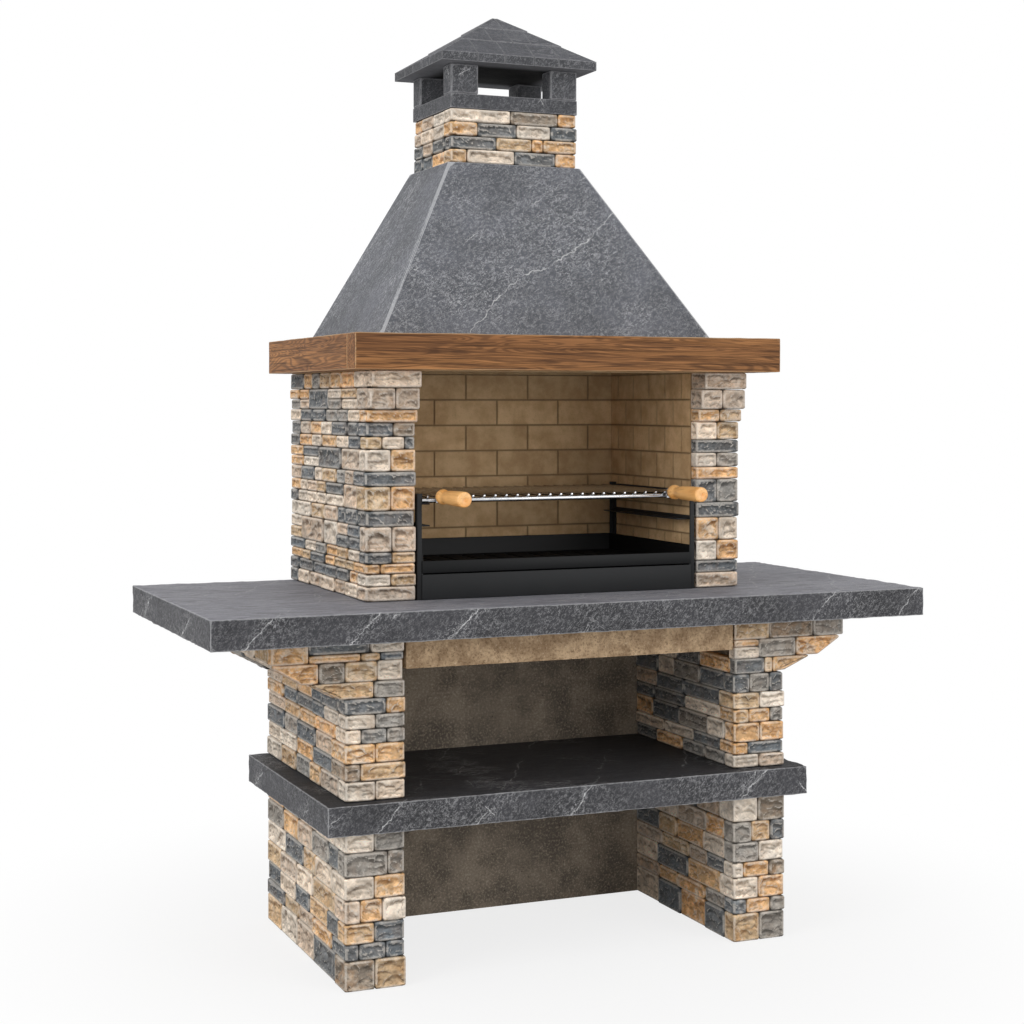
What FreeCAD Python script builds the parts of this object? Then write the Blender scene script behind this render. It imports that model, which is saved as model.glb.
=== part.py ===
import FreeCAD, Part
import Sketcher
import math
import os
import random

# Masonry barbecue: two stone-clad legs with a shelf and a worktop slab, a firebrick-lined
# firebox under a slate hood and a capped chimney, and a steel fire insert with a sliding grill.
# Millimetres, +X to the right of the user, +Y to the back, +Z up.
# The origin is on the ground, in the middle of the worktop's width and depth.

SIZES = {
    # worktop and shelf slabs
    "worktop_width": 1800,
    "worktop_depth": 820,
    "worktop_thickness": 70,
    "worktop_height": 860,
    "worktop_end_reach": 160,
    "shelf_height": 424,
    "shelf_thickness": 70,
    "shelf_side_reach": 49,
    "shelf_front_reach": 26,
    "slab_arris": 5,
    # legs and their stone cladding
    "leg_width": 144,
    "leg_front_setback": 110,
    "leg_rear_setback": 55,
    "stone_thickness": 27,
    "stone_joint": 3,
    "stone_pitch": 2,
    "stone_relief": 3,
    "leg_stone_length": 132,
    # corbel on the outer side of each upper leg
    "corbel_reach": 173,
    "corbel_top_rise": 52,
    "corbel_middle_rise": 46,
    "corbel_bottom_rise": 38,
    "corbel_slope": 66,
    "corbel_lap": 8,
    "corbel_notch": 24,
    "corbel_stone_depth": 28,
    # rear walls of the two niches and the slab under the hearth
    "rear_wall_thickness": 120,
    "hearth_thickness": 74,
    "hearth_bearing": 30,
    "hearth_recess": 3,
    # firebox piers, rear wall and firebrick lining
    "firebox_width": 728,
    "pier_width": 126,
    "pier_front_setback": 198,
    "pier_height": 532,
    "pier_stone_length": 92,
    "pier_corbel_step": 15,
    "firebox_wall_thickness": 120,
    "brick_thickness": 28,
    "brick_length": 176,
    "brick_height": 66,
    "brick_header": 98,
    "brick_joint": 1.5,
    "brick_edge": 1,
    # wooden mantel and the concrete frame behind it
    "mantel_height": 84,
    "mantel_thickness": 62,
    "mantel_front_reach": 100,
    "mantel_side_reach": 58,
    "mantel_edge": 3,
    "throat_depth": 380,
    # hood, chimney and cap
    "hood_front_setback": 148,
    "hood_side_setback": 110,
    "hood_height": 442,
    "hood_shell": 46,
    "hood_arris": 6,
    "chimney_width": 346,
    "chimney_depth": 278,
    "chimney_height": 138,
    "chimney_rear_setback": 62,
    "chimney_ledge": 8,
    "chimney_stone_length": 84,
    "flue_wall": 35,
    "cap_base_height": 36,
    "cap_post_width": 74,
    "cap_post_depth": 55,
    "cap_post_height": 75,
    "cap_arris": 3,
    "eave_reach": 38,
    "roof_rise": 134,
    "tile_edge": 22,
    "tile_lap": 2.5,
    "tile_joint": 1.6,
    # steel fire insert
    "insert_side_gap": 1,
    "insert_rear_gap": 15,
    "sheet": 3,
    "tray_height": 28,
    "tray_wall_rise": 18,
    "tray_slot_width": 8,
    "tray_slot_length": 150,
    "tray_slot_pitch": 62,
    "drawer_height": 58,
    "drawer_gap": 3.5,
    "drawer_side_play": 4,
    "drawer_lift": 0.5,
    "drawer_flange": 14,
    "slide_play": 0.4,
    "upright_width": 11,
    "upright_depth": 20,
    "upright_height": 246,
    "rail_leg": 38,
    "rail_ear": 19.5,
    "upper_rail_height": 223,
    "upper_rail_rise": 22,
    "lower_rail_height": 172,
    "lower_rail_rise": 10,
    # sliding grill
    "grill_bar": 11,
    "grill_side_play": 10,
    "grill_front_setback": 37,
    "grill_rear_gap": 29,
    "grill_wire": 6,
    "grill_wire_pitch": 28.5,
    "grill_wire_overhang": 9,
    "weld_gap": 0.15,
    "tang_diameter": 8,
    "tang_tail": 46,
    "collar_width": 14,
    "collar_rise": 22,
    "collar_thickness": 6,
    "collar_gap": 10,
    "handle_inset": 39,
    "handle_length": 152,
    "handle_gap": 30,
    "handle_diameter": 36,
    "handle_bulb": 36,
    "handle_bulb_flat": 3,
    "handle_neck": 27,
    "handle_neck_length": 34,
    "handle_flare": 22,
    "handle_shoulder": 33,
    "handle_bevel": 3,
    "handle_seat": 70,
}

doc = FreeCAD.newDocument("MasonryBarbecue")
sheet = doc.addObject("Spreadsheet::Sheet", "Sizes")
for row, (name, number) in enumerate(SIZES.items(), start=1):
    sheet.set(f"A{row}", name)
    sheet.set(f"B{row}", str(number))
    sheet.setAlias(f"B{row}", name)
doc.recompute()


class Size:
    """A length that keeps the expression which ties it to the sheet beside its number."""

    def __init__(self, text, number):
        self.text = text
        self.number = number

    def join(self, sign, other, number):
        return Size(f"({self.text} {sign} {wrap(other).text})", number)

    def __add__(self, other):
        return self.join("+", other, self.number + wrap(other).number)

    def __sub__(self, other):
        return self.join("-", other, self.number - wrap(other).number)

    def __mul__(self, other):
        return self.join("*", other, self.number * wrap(other).number)

    def __truediv__(self, other):
        return self.join("/", other, self.number / wrap(other).number)

    def __neg__(self):
        return Size(f"(-1 * {self.text})", -self.number)

    def __float__(self):
        return float(self.number)


def wrap(thing):
    return thing if isinstance(thing, Size) else Size(repr(thing), thing)


def size(name):
    return Size(f"Sizes.{name}", float(sheet.get(name)))


def mm(name):
    return float(sheet.get(name))


NOUGHT = Size("0", 0.0)
ALONG = "XZ_Plane"
LEVEL = "XY_Plane"
SIDES = {"left": -1, "right": 1}
pieces = []


def keep(thing, label):
    thing.Label = label
    pieces.append(thing)
    return thing


def reach(side, inner, outer):
    """Low and high X of something between two distances from the middle, on one side."""
    if side > 0:
        return inner, outer
    return -outer, -inner


def box(label, x, y, z):
    thing = doc.addObject("Part::Box", label)
    for prop, (low, high) in zip(("Length", "Width", "Height"), (x, y, z)):
        thing.setExpression(prop, (high - low).text)
    for axis, (low, high) in zip("xyz", (x, y, z)):
        thing.setExpression(f"Placement.Base.{axis}", low.text)
    return thing


def rod(label, diameter, length, x, y, z):
    """A round bar along Y, placed by the middle of its front end."""
    thing = doc.addObject("Part::Cylinder", label)
    thing.setExpression("Radius", (diameter / 2).text)
    thing.setExpression("Height", length.text)
    thing.Placement.Rotation = FreeCAD.Rotation(FreeCAD.Vector(1, 0, 0), -90)
    for axis, at in zip("xyz", (x, y, z)):
        thing.setExpression(f"Placement.Base.{axis}", at.text)
    return thing


def new_body(label):
    return doc.addObject("PartDesign::Body", label)


def sketch(body, role, outlines, offset):
    """A sketch of closed outlines whose corners are tied to the sheet."""
    drawing = body.newObject("Sketcher::SketchObject", body.Name + "_outline")
    plane = next(item for item in body.Origin.OriginFeatures if item.Role == role)
    drawing.AttachmentSupport = (plane, [""])
    drawing.MapMode = "FlatFace"
    drawing.setExpression("AttachmentOffset.Base.z", wrap(offset).text)
    for outline in outlines:
        corners = [(wrap(across), wrap(up)) for across, up in outline]
        first = drawing.GeometryCount
        count = len(corners)
        for index in range(count):
            start = FreeCAD.Vector(float(corners[index][0]), float(corners[index][1]), 0)
            follow = corners[(index + 1) % count]
            end = FreeCAD.Vector(float(follow[0]), float(follow[1]), 0)
            drawing.addGeometry(Part.LineSegment(start, end))
        for index in range(count):
            after = first + (index + 1) % count
            drawing.addConstraint(Sketcher.Constraint("Coincident", first + index, 2, after, 1))
        for index, corner in enumerate(corners):
            for kind, at in zip(("DistanceX", "DistanceY"), corner):
                link = Sketcher.Constraint(kind, -1, 1, first + index, 1, float(at))
                number = drawing.addConstraint(link)
                drawing.setExpression(f"Constraints[{number}]", at.text)
    return drawing


def rectangle(x, y):
    return [(x[0], y[0]), (x[1], y[0]), (x[1], y[1]), (x[0], y[1])]


def pad(body, drawing, length):
    feature = body.newObject("PartDesign::Pad", body.Name + "_pad")
    feature.Profile = drawing
    feature.setExpression("Length", wrap(length).text)
    drawing.Visibility = False
    return feature


def pocket(body, drawing, length):
    feature = body.newObject("PartDesign::Pocket", body.Name + "_pocket")
    feature.Profile = drawing
    feature.setExpression("Length", wrap(length).text)
    return feature


def bevel(body, feature, length):
    """Bevel every edge of a body."""
    doc.recompute()
    edge = body.newObject("PartDesign::Chamfer", body.Name + "_edge")
    edge.Base = (feature, [""])
    edge.UseAllEdges = True
    edge.setExpression("Size", length.text)
    return edge


def slab(label, x, y, z, arris):
    body = new_body(label)
    block = pad(body, sketch(body, LEVEL, [rectangle(x, y)], z[0]), z[1] - z[0])
    bevel(body, block, arris)
    return body


def profile(label, side, outline, y):
    """An XZ outline, drawn for the right side, run from front to back."""
    body = new_body(label)
    corners = [(across * side, up) for across, up in outline]
    pad(body, sketch(body, ALONG, [corners], -y[1]), y[1] - y[0])
    return body


def solid(faces):
    """A closed block with flat faces."""
    flats = []
    for corners in faces:
        flats.append(Part.Face(Part.makePolygon(list(corners) + [corners[0]])))
    block = Part.makeSolid(Part.makeShell(flats))
    if block.Volume < 0:
        block.reverse()
    return block


def between(ring, other):
    """A block between two rings of the same number of corners."""
    count = len(ring)
    faces = [ring, other]
    for index in range(count):
        after = (index + 1) % count
        faces.append([ring[index], ring[after], other[after], other[index]])
    return solid(faces)


def group(label, blocks):
    thing = doc.addObject("Part::Feature", label)
    thing.Shape = Part.makeCompound(blocks)
    thing.Placement = FreeCAD.Placement()
    return keep(thing, label)


# Levels and faces that several pieces share.
top = size("worktop_height")
under_top = top - size("worktop_thickness")
shelf_top = size("shelf_height")
under_shelf = shelf_top - size("shelf_thickness")
front = -(size("worktop_depth") / 2)
rear = size("worktop_depth") / 2
stone = size("stone_thickness")
corbel_end = size("worktop_width") / 2 - size("worktop_end_reach")
leg_out = corbel_end - size("corbel_reach")
leg_in = leg_out - size("leg_width")
leg_front = front + size("leg_front_setback")
leg_rear = rear - size("leg_rear_setback")
core_in = leg_in + stone
core_out = leg_out - stone
core_front = leg_front + stone
niche_rear = leg_rear - size("rear_wall_thickness")
under_hearth = under_top - size("hearth_thickness")
hearth_end = core_in + size("hearth_bearing")

corbel_low = under_top - size("corbel_top_rise")
corbel_mid = corbel_low - size("corbel_middle_rise")
corbel_foot = corbel_mid - size("corbel_bottom_rise")
middle_head = corbel_end - size("corbel_lap")
middle_foot = middle_head - size("corbel_slope")
bottom_head = middle_foot - size("corbel_notch")
bottom_foot = bottom_head - size("corbel_slope")
core_middle = middle_foot - size("corbel_stone_depth")
core_top = corbel_end - size("corbel_stone_depth")

pier_in = size("firebox_width") / 2
pier_out = pier_in + size("pier_width")
pier_front = front + size("pier_front_setback")
pier_top = top + size("pier_height")
pier_core_in = pier_in + size("brick_thickness")
pier_core_out = pier_out - stone
pier_core_front = pier_front + stone
wall_front = rear - size("firebox_wall_thickness")
brick_face = wall_front - size("brick_thickness")

mantel_top = pier_top + size("mantel_height")
mantel_front = pier_front - size("mantel_front_reach")
mantel_out = pier_out + size("mantel_side_reach")
frame_front = mantel_front + size("mantel_thickness")
frame_out = mantel_out - size("mantel_thickness")

hood_front = mantel_front + size("hood_front_setback")
hood_out = mantel_out - size("hood_side_setback")
hood_top = mantel_top + size("hood_height")
chimney_out = size("chimney_width") / 2
chimney_rear = rear - size("chimney_rear_setback")
chimney_front = chimney_rear - size("chimney_depth")
chimney_mid = chimney_rear - size("chimney_depth") / 2
neck_out = chimney_out + size("chimney_ledge")
neck_front = chimney_front - size("chimney_ledge")
neck_rear = chimney_rear + size("chimney_ledge")
chimney_top = hood_top + size("chimney_height")
flue_out = chimney_out - stone - size("flue_wall")
flue_front = chimney_front + stone + size("flue_wall")
flue_rear = chimney_rear - stone - size("flue_wall")
base_top = chimney_top + size("cap_base_height")
post_top = base_top + size("cap_post_height")


# Stone cladding. Each stone is a block with a pitched face: full size at the back, where it
# is bedded on the core, and smaller at the front, so that the joints open outwards. Stones of
# a row are shorter or longer than nominal by the spread; a tall course has some full stones.
STONE_SPREAD = (0.68, 1.32)
TALL_COURSE = 1.5
TALL_STONES = 0.3


def levels(low, high, heights):
    """Bed joints of courses with these heights, fitted between two levels."""
    share = (high - low) / sum(heights)
    beds = [low]
    for height in heights:
        beds.append(beds[-1] + height * share)
    return beds


def inset(outline, distance):
    """The outline moved inwards by the same distance on every edge."""
    count = len(outline)
    turn = 0.0
    for index in range(count):
        a, b = outline[index], outline[(index + 1) % count]
        turn += a[0] * b[1] - b[0] * a[1]
    inward = distance if turn > 0 else -distance
    moved = []
    for index in range(count):
        a, b = outline[index - 1], outline[index]
        c = outline[(index + 1) % count]
        before = math.hypot(b[0] - a[0], b[1] - a[1])
        after = math.hypot(c[0] - b[0], c[1] - b[1])
        d = ((b[0] - a[0]) / before, (b[1] - a[1]) / before)
        e = ((c[0] - b[0]) / after, (c[1] - b[1]) / after)
        cross = d[0] * e[1] - d[1] * e[0]
        p = (b[0] - d[1] * inward, b[1] + d[0] * inward)
        q = (b[0] - e[1] * inward, b[1] + e[0] * inward)
        run = ((q[0] - p[0]) * e[1] - (q[1] - p[1]) * e[0]) / cross
        moved.append((p[0] + d[0] * run, p[1] + d[1] * run))
    return moved


class Face:
    """An upright wall face: where it starts, which way it runs and which way it looks."""

    def __init__(self, x, y, along, outward):
        self.start = FreeCAD.Vector(x, y, 0)
        self.along = FreeCAD.Vector(along[0], along[1], 0)
        self.outward = FreeCAD.Vector(outward[0], outward[1], 0)

    def point(self, run, level, out):
        return self.start + self.along * run + self.outward * out + FreeCAD.Vector(0, 0, level)


def pitched(face, outline, depth, proud):
    """One stone on a face, from its outline with the joints still in it."""
    bed = inset(outline, mm("stone_joint") / 2)
    shown = inset(bed, mm("stone_pitch"))
    back = [face.point(run, level, -depth) for run, level in bed]
    show = [face.point(run, level, proud) for run, level in shown]
    return between(back, show)


def quoin(face, side_face, width, depth, low, high, thick, proud):
    """A corner stone that wraps round from one face to the next, as an L in plan."""
    gap = mm("stone_joint") / 2
    pitch = mm("stone_pitch")
    skin = mm("stone_thickness")
    low = low + gap
    high = high - gap
    along = face.along
    back = side_face.along
    corner = face.start + face.outward * proud

    def ring(run, into, lift):
        foot = corner + along * run + back * into
        return [foot + FreeCAD.Vector(0, 0, low + lift), foot + FreeCAD.Vector(0, 0, high - lift)]

    thick = thick + proud
    outer = ring(0, 0, pitch)
    wide = ring(width - gap - pitch, 0, pitch)
    wide_in = ring(width - gap, thick, 0)
    inner = ring(skin, thick, 0)
    deep_in = ring(skin, depth - gap + proud, 0)
    deep = ring(0, depth - gap - pitch + proud, pitch)
    loop = [outer, wide, wide_in, inner, deep_in, deep]
    faces = []
    for index in range(len(loop)):
        a, b = loop[index], loop[(index + 1) % len(loop)]
        faces.append([a[0], b[0], b[1], a[1]])
    for end in (0, 1):
        faces.append([outer[end], wide[end], wide_in[end], inner[end]])
        faces.append([outer[end], inner[end], deep_in[end], deep[end]])
    return solid(faces)


def cuts(start, end, nominal, rng):
    """Upright joints of one row, about a nominal stone length apart."""
    count = max(1, round((end - start) / nominal))
    shares = [rng.uniform(*STONE_SPREAD) for step in range(count)]
    joints = [start]
    for share in shares:
        joints.append(joints[-1] + (end - start) * share / sum(shares))
    return joints


def patch(run, beds):
    return [(run[0], beds[0]), (run[1], beds[0]), (run[1], beds[1]), (run[0], beds[1])]


def row(face, joints, beds, rng):
    stones = []
    for run in zip(joints, joints[1:]):
        proud = -rng.uniform(0, mm("stone_relief"))
        stones.append(pitched(face, patch(run, beds), mm("stone_thickness"), proud))
    return stones


# Course heights and upright joints of the visible ends, from the ground up. The joints are
# shares of the width, counted from the outer corner.
LOWER_COURSES = {
    "left": (68, 37, 46, 52, 52, 54, 45),
    "right": (68, 35, 53, 37, 49, 50, 62),
}
LOWER_JOINTS = {
    "left": ((0.49,), (0.23, 0.67), (0.48,), (0.25, 0.62), (0.48,), (0.70,), (0.48,)),
    "right": ((0.49,), (0.28, 0.74), (0.51,), (0.30, 0.80), (0.50,), (0.27, 0.64), (0.52,)),
}
UPPER_COURSES = {
    "left": (45, 39, 44, 33, 33, 36),
    "right": (33, 30, 47, 34, 40, 46),
}
UPPER_JOINTS = {
    "left": ((0.50,), (0.25,), (0.50,), (0.27, 0.69), (0.50,), (0.68,)),
    "right": ((0.49,), (0.71,), (0.48,), (0.27, 0.69), (0.49,), (0.29, 0.68)),
}
CORBEL_JOINTS = {
    "left": ((0.48,), (-0.42, 0.0, 0.53), (-0.58, 0.42)),
    "right": ((0.22, 0.38), (-0.24, 0.50), (-0.58, 0.30)),
}
# Thin stones that share a corbel course with lower ones: the share of the course's height
# where they start and end, and their joints.
CORBEL_STRIPS = {
    "left": {2: (0.0, 0.35, (-0.58, 0.26, 0.58))},
    "right": {1: (0.62, 1.0, (0.50,))},
}
# The blunt nose at the head of a sloping corbel stone, as a share of its height.
CORBEL_NOSE = 0.25
PIER_COURSES = {
    "left": (33, 28, 23, 26, 57, 36, 55, 33, 50, 29, 32, 29, 49, 39),
    "right": (36, 29, 48, 55, 36, 55, 29, 34, 31, 43, 30, 47, 40),
}
PIER_JOINTS = {
    "left": ((), (0.50,), (0.29,), (0.51,), (0.52,), (), (0.49,), (), (0.49,), (0.33, 0.76),
             (0.54,), (), (0.50,), ()),
    "right": ((), (), (0.50,), (0.46,), (), (0.51,), (), (0.50,), (), (0.50,), (0.50,),
              (0.50,), ()),
}
CHIMNEY_COURSES = (36, 33, 35, 34)
# Joints across the front of the chimney, as shares of its width, counted from the left.
CHIMNEY_JOINTS = ((0.13, 0.50, 0.83), (0.36, 0.64, 0.73), (0.21, 0.52, 0.79), (0.47, 0.85))
# How far its other corner stones run forwards and return, in stone thicknesses.
CHIMNEY_RUNS = (1.6, 3.4)
CHIMNEY_RETURNS = (1.6, 3.0)
FRONT_CORBELS = 3
# How far corner stones return round the corner, as shares of the width of the end.
OUTER_RETURNS = (0.40, 0.57, 0.74)
INNER_RETURNS = (0.36, 0.53)


def leg_end(side):
    return Face(side * float(leg_out), float(leg_front), (-side, 0), (0, -1))


def leg_outer(side):
    return Face(side * float(leg_out), float(leg_front), (0, 1), (side, 0))


def leg_inner_end(side):
    return Face(side * float(leg_in), float(leg_front), (side, 0), (0, -1))


def leg_inner(side):
    return Face(side * float(leg_in), float(leg_front), (0, 1), (-side, 0))


def end_stones(side, joints, beds, rng):
    """One course across the front end of a leg, and the lengths that its corners return."""
    shown = leg_end(side)
    width = mm("leg_width")
    skin = mm("stone_thickness")
    marks = [0.0] + [share * width for share in joints] + [width]
    outer_return = rng.choice(OUTER_RETURNS) * width
    inner_return = rng.choice(INNER_RETURNS) * width
    stones = []
    for index, run in enumerate(zip(marks, marks[1:])):
        proud = -rng.uniform(0, mm("stone_relief"))
        if index == 0:
            corner = (shown, leg_outer(side), run[1], outer_return)
            stones.append(quoin(*corner, *beds, skin, proud))
        elif run[1] == width:
            corner = (leg_inner_end(side), leg_inner(side), width - run[0], inner_return)
            stones.append(quoin(*corner, *beds, skin, proud))
        else:
            stones.append(pitched(shown, patch(run, beds), skin, proud))
    return stones, outer_return, inner_return


def clad_leg(side, low, high, heights, joint_rows, rng):
    """Straight courses of a leg: the front end, the outer side and the inner side."""
    stones = []
    long = mm("leg_stone_length")
    beds = levels(low, high, heights)
    for joints, pair in zip(joint_rows, zip(beds, beds[1:])):
        ends, outer_return, inner_return = end_stones(side, joints, pair, rng)
        stones += ends
        depth = float(leg_rear - leg_front)
        stones += row(leg_outer(side), cuts(outer_return, depth, long, rng), pair, rng)
        depth = float(niche_rear - leg_front)
        stones += row(leg_inner(side), cuts(inner_return, depth, long, rng), pair, rng)
    return stones


def corbel_block(side, inner, foot, head, beds, run):
    """A corbel stone with a sloping end, between two distances along the leg."""
    gap = mm("stone_joint") / 2
    pitch = mm("stone_pitch")
    low = beds[0] + gap
    high = beds[1] - gap
    nose = CORBEL_NOSE * (beds[1] - beds[0]) if head > foot else 0
    lean = (head - foot) / (beds[1] - beds[0] - nose)
    shown = [(foot + lean * (gap + pitch), low + pitch), (head, high - pitch)]
    if nose:
        shown.insert(1, (head, beds[1] - nose))
    near = []
    far = []
    for across, level in [(inner, low)] + shown + [(inner, high)]:
        take = gap + pitch * (across - inner) / (head - inner)
        near.append(FreeCAD.Vector(side * across, run[0] + take, level))
        far.append(FreeCAD.Vector(side * across, run[1] - take, level))
    return between(near, far)


def split_row(face, marks, beds, strip, rng):
    """A row of a course in which some stones are lower, with thin ones over or under them."""
    foot, head, shares = strip
    rise = beds[1] - beds[0]
    thin = [share * mm("leg_width") for share in shares] + marks[-1:]
    thin_beds = (beds[0] + rise * foot, beds[0] + rise * head)
    low_beds = (thin_beds[1], beds[1]) if foot == 0 else (beds[0], thin_beds[0])
    full = [mark for mark in marks if mark <= thin[0]]
    low = [mark for mark in marks if mark >= thin[0]]
    stones = row(face, full, beds, rng)
    stones += row(face, low, low_beds, rng)
    return stones + row(face, thin, thin_beds, rng)


def clad_corbel(side, joint_rows, strips, rng):
    """Three courses that reach out one over the other to carry the end of the worktop."""
    stones = []
    shown = leg_end(side)
    width = mm("leg_width")
    skin = mm("stone_thickness")
    ends = (
        (core_out, bottom_foot, bottom_head, corbel_foot, corbel_mid),
        (core_middle, middle_foot, middle_head, corbel_mid, corbel_low),
        (core_top, corbel_end, corbel_end, corbel_low, under_top),
    )
    for course, (joints, end) in enumerate(zip(joint_rows, ends)):
        core, foot, head, low, high = (float(item) for item in end)
        marks = [share * width for share in joints] + [width]
        starts = (float(leg_out) - foot, float(leg_out) - head)
        first = [(starts[0], low), (marks[0], low), (marks[0], high), (starts[1], high)]
        if head > foot:
            first.append((starts[1], high - CORBEL_NOSE * (high - low)))
        stones.append(pitched(shown, first, skin, -rng.uniform(0, mm("stone_relief"))))
        if course in strips:
            stones += split_row(shown, marks, (low, high), strips[course], rng)
        else:
            stones += row(shown, marks, (low, high), rng)
        runs = cuts(float(core_front), float(leg_rear), mm("leg_stone_length"), rng)
        for run in zip(runs, runs[1:]):
            stones.append(corbel_block(side, core, foot, head, (low, high), run))
        roof = min(high, float(under_hearth))
        if roof - low > mm("stone_thickness"):
            runs = cuts(skin, float(niche_rear - leg_front), mm("leg_stone_length"), rng)
            stones += row(leg_inner(side), runs, (low, roof), rng)
    return stones


def side_courses(face, start, end, beds, rng):
    """A stretch of a pier side: tall stones, and thin ones laid two high beside them."""
    stones = []
    middle = (beds[0] + beds[1]) / 2
    tall = beds[1] - beds[0] > TALL_COURSE * mm("stone_thickness")
    runs = cuts(start, end, mm("pier_stone_length") * (TALL_COURSE if tall else 1), rng)
    for run in zip(runs, runs[1:]):
        if not tall or rng.random() < TALL_STONES:
            stones += row(face, run, beds, rng)
        else:
            for half in ((beds[0], middle), (middle, beds[1])):
                stones += row(face, cuts(*run, mm("pier_stone_length"), rng), half, rng)
    return stones


def clad_pier(side, heights, joint_rows, rng):
    """Front and outer side of a firebox pier; the top courses step out under the mantel."""
    stones = []
    width = mm("pier_width")
    skin = mm("stone_thickness")
    beds = levels(float(top), float(pier_top), heights)
    for index, joints in enumerate(joint_rows):
        pair = (beds[index], beds[index + 1])
        steps = max(0, index - len(joint_rows) + FRONT_CORBELS + 1)
        step = steps * mm("pier_corbel_step")
        shown = Face(side * float(pier_out), float(pier_front) - step, (-side, 0), (0, -1))
        outer = Face(side * float(pier_out), float(pier_front), (0, 1), (side, 0))
        turn = rng.choice(OUTER_RETURNS) * width
        marks = [0.0] + [share * width for share in joints] + [width]
        for place, run in enumerate(zip(marks, marks[1:])):
            proud = -rng.uniform(0, mm("stone_relief"))
            if place == 0:
                stones.append(quoin(shown, outer, run[1], turn + step, *pair, skin + step, proud))
            else:
                stones.append(pitched(shown, patch(run, pair), skin + step, proud))
        stones += side_courses(outer, turn, float(rear - pier_front), pair, rng)
    return stones


def clad_chimney(heights, joint_rows, rng):
    """Courses round the four sides of the flue, with the corner stones turned in turn."""
    stones = []
    skin = mm("stone_thickness")
    width = mm("chimney_width")
    west, east = -float(chimney_out), float(chimney_out)
    south, north = float(chimney_front), float(chimney_rear)
    corners = ((west, south, (1, 0)), (east, south, (0, 1)), (east, north, (-1, 0)),
               (west, north, (0, -1)))
    beds = levels(float(hood_top), float(chimney_top), heights)
    for pair, shares in zip(zip(beds, beds[1:]), joint_rows):
        marks = [share * width for share in shares]
        runs = [marks[0]] + [rng.uniform(*CHIMNEY_RUNS) * skin for corner in corners[1:]]
        returns = [rng.uniform(*CHIMNEY_RETURNS) * skin for corner in corners]
        returns[1] = width - marks[-1]
        turns = []
        for (x, y, along), forward, behind in zip(corners, runs, returns):
            face = Face(x, y, along, (along[1], -along[0]))
            back = (-along[1], along[0])
            side_face = Face(x, y, back, (-along[0], -along[1]))
            proud = -rng.uniform(0, mm("stone_relief"))
            stones.append(quoin(face, side_face, forward, behind, *pair, skin, proud))
            turns.append((face, forward, behind))
        for index, (face, forward, behind) in enumerate(turns):
            after = turns[(index + 1) % len(turns)]
            span = (after[0].start - face.start).Length - after[2]
            if index > 0:
                marks = cuts(forward, span, mm("chimney_stone_length"), rng)
            stones += row(face, marks, pair, rng)
    return stones


# Where the bond of the rear wall starts, as a share of a brick.
BOND_START = 0.4


def lay_bricks(face, wide, low, high, brick, first):
    """A running bond of firebricks in whole courses. The first upright joint is at a given
    distance in the bottom course; joints too near an end are left out."""
    bricks = []
    count = max(2, round((high - low) / mm("brick_height")))
    least = mm("brick_thickness")
    for course in range(count):
        beds = (low + (high - low) * course / count, low + (high - low) * (course + 1) / count)
        joints = [0.0]
        mark = first - brick / 2 * (course % 2)
        while mark < wide - least:
            if mark > least:
                joints.append(mark)
            mark += brick
        joints.append(wide)
        for run in zip(joints, joints[1:]):
            outline = inset(patch(run, beds), mm("brick_joint") / 2)
            back = [face.point(at, level, -mm("brick_thickness")) for at, level in outline]
            shown = inset(outline, mm("brick_edge"))
            show = [face.point(at, level, 0) for at, level in shown]
            bricks.append(between(back, show))
    return bricks


# Lower legs: a cast core for each, standing on the ground, with its cladding.
for word, side in SIDES.items():
    label = f"{word}_lower_leg_core"
    core_x = reach(side, core_in, core_out)
    keep(box(label, core_x, (core_front, leg_rear), (NOUGHT, under_shelf)), label)
    rng = random.Random(f"lower {word}")
    stones = clad_leg(side, 0.0, float(under_shelf), LOWER_COURSES[word], LOWER_JOINTS[word], rng)
    group(f"{word}_lower_leg_stones", stones)

niche_wall_x = (-core_in, core_in)
niche_wall_y = (niche_rear, leg_rear)
lower_wall = box("lower_rear_wall", niche_wall_x, niche_wall_y, (NOUGHT, under_shelf))
keep(lower_wall, "lower_rear_wall")

# Shelf slab on the lower legs.
shelf_out = leg_out + size("shelf_side_reach")
shelf_front = leg_front - size("shelf_front_reach")
shelf_x = (-shelf_out, shelf_out)
shelf_y = (shelf_front, leg_rear)
shelf = slab("shelf_slab", shelf_x, shelf_y, (under_shelf, shelf_top), size("slab_arris"))
keep(shelf, "shelf_slab")

# Upper legs: the core steps out into a corbel and has a seat for the hearth slab.
for word, side in SIDES.items():
    outline = [
        (core_in, shelf_top),
        (core_out, shelf_top),
        (core_out, corbel_mid),
        (core_middle, corbel_mid),
        (core_middle, corbel_low),
        (core_top, corbel_low),
        (core_top, under_top),
        (hearth_end, under_top),
        (hearth_end, under_hearth),
        (core_in, under_hearth),
    ]
    label = f"{word}_upper_leg_core"
    keep(profile(label, side, outline, (core_front, leg_rear)), label)
    rng = random.Random(f"upper {word}")
    low = float(shelf_top)
    high = float(corbel_foot)
    stones = clad_leg(side, low, high, UPPER_COURSES[word], UPPER_JOINTS[word], rng)
    group(f"{word}_upper_leg_stones", stones)
    stones = clad_corbel(side, CORBEL_JOINTS[word], CORBEL_STRIPS[word], rng)
    group(f"{word}_corbel_stones", stones)

upper_wall = box("upper_rear_wall", niche_wall_x, niche_wall_y, (shelf_top, under_hearth))
keep(upper_wall, "upper_rear_wall")

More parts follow.
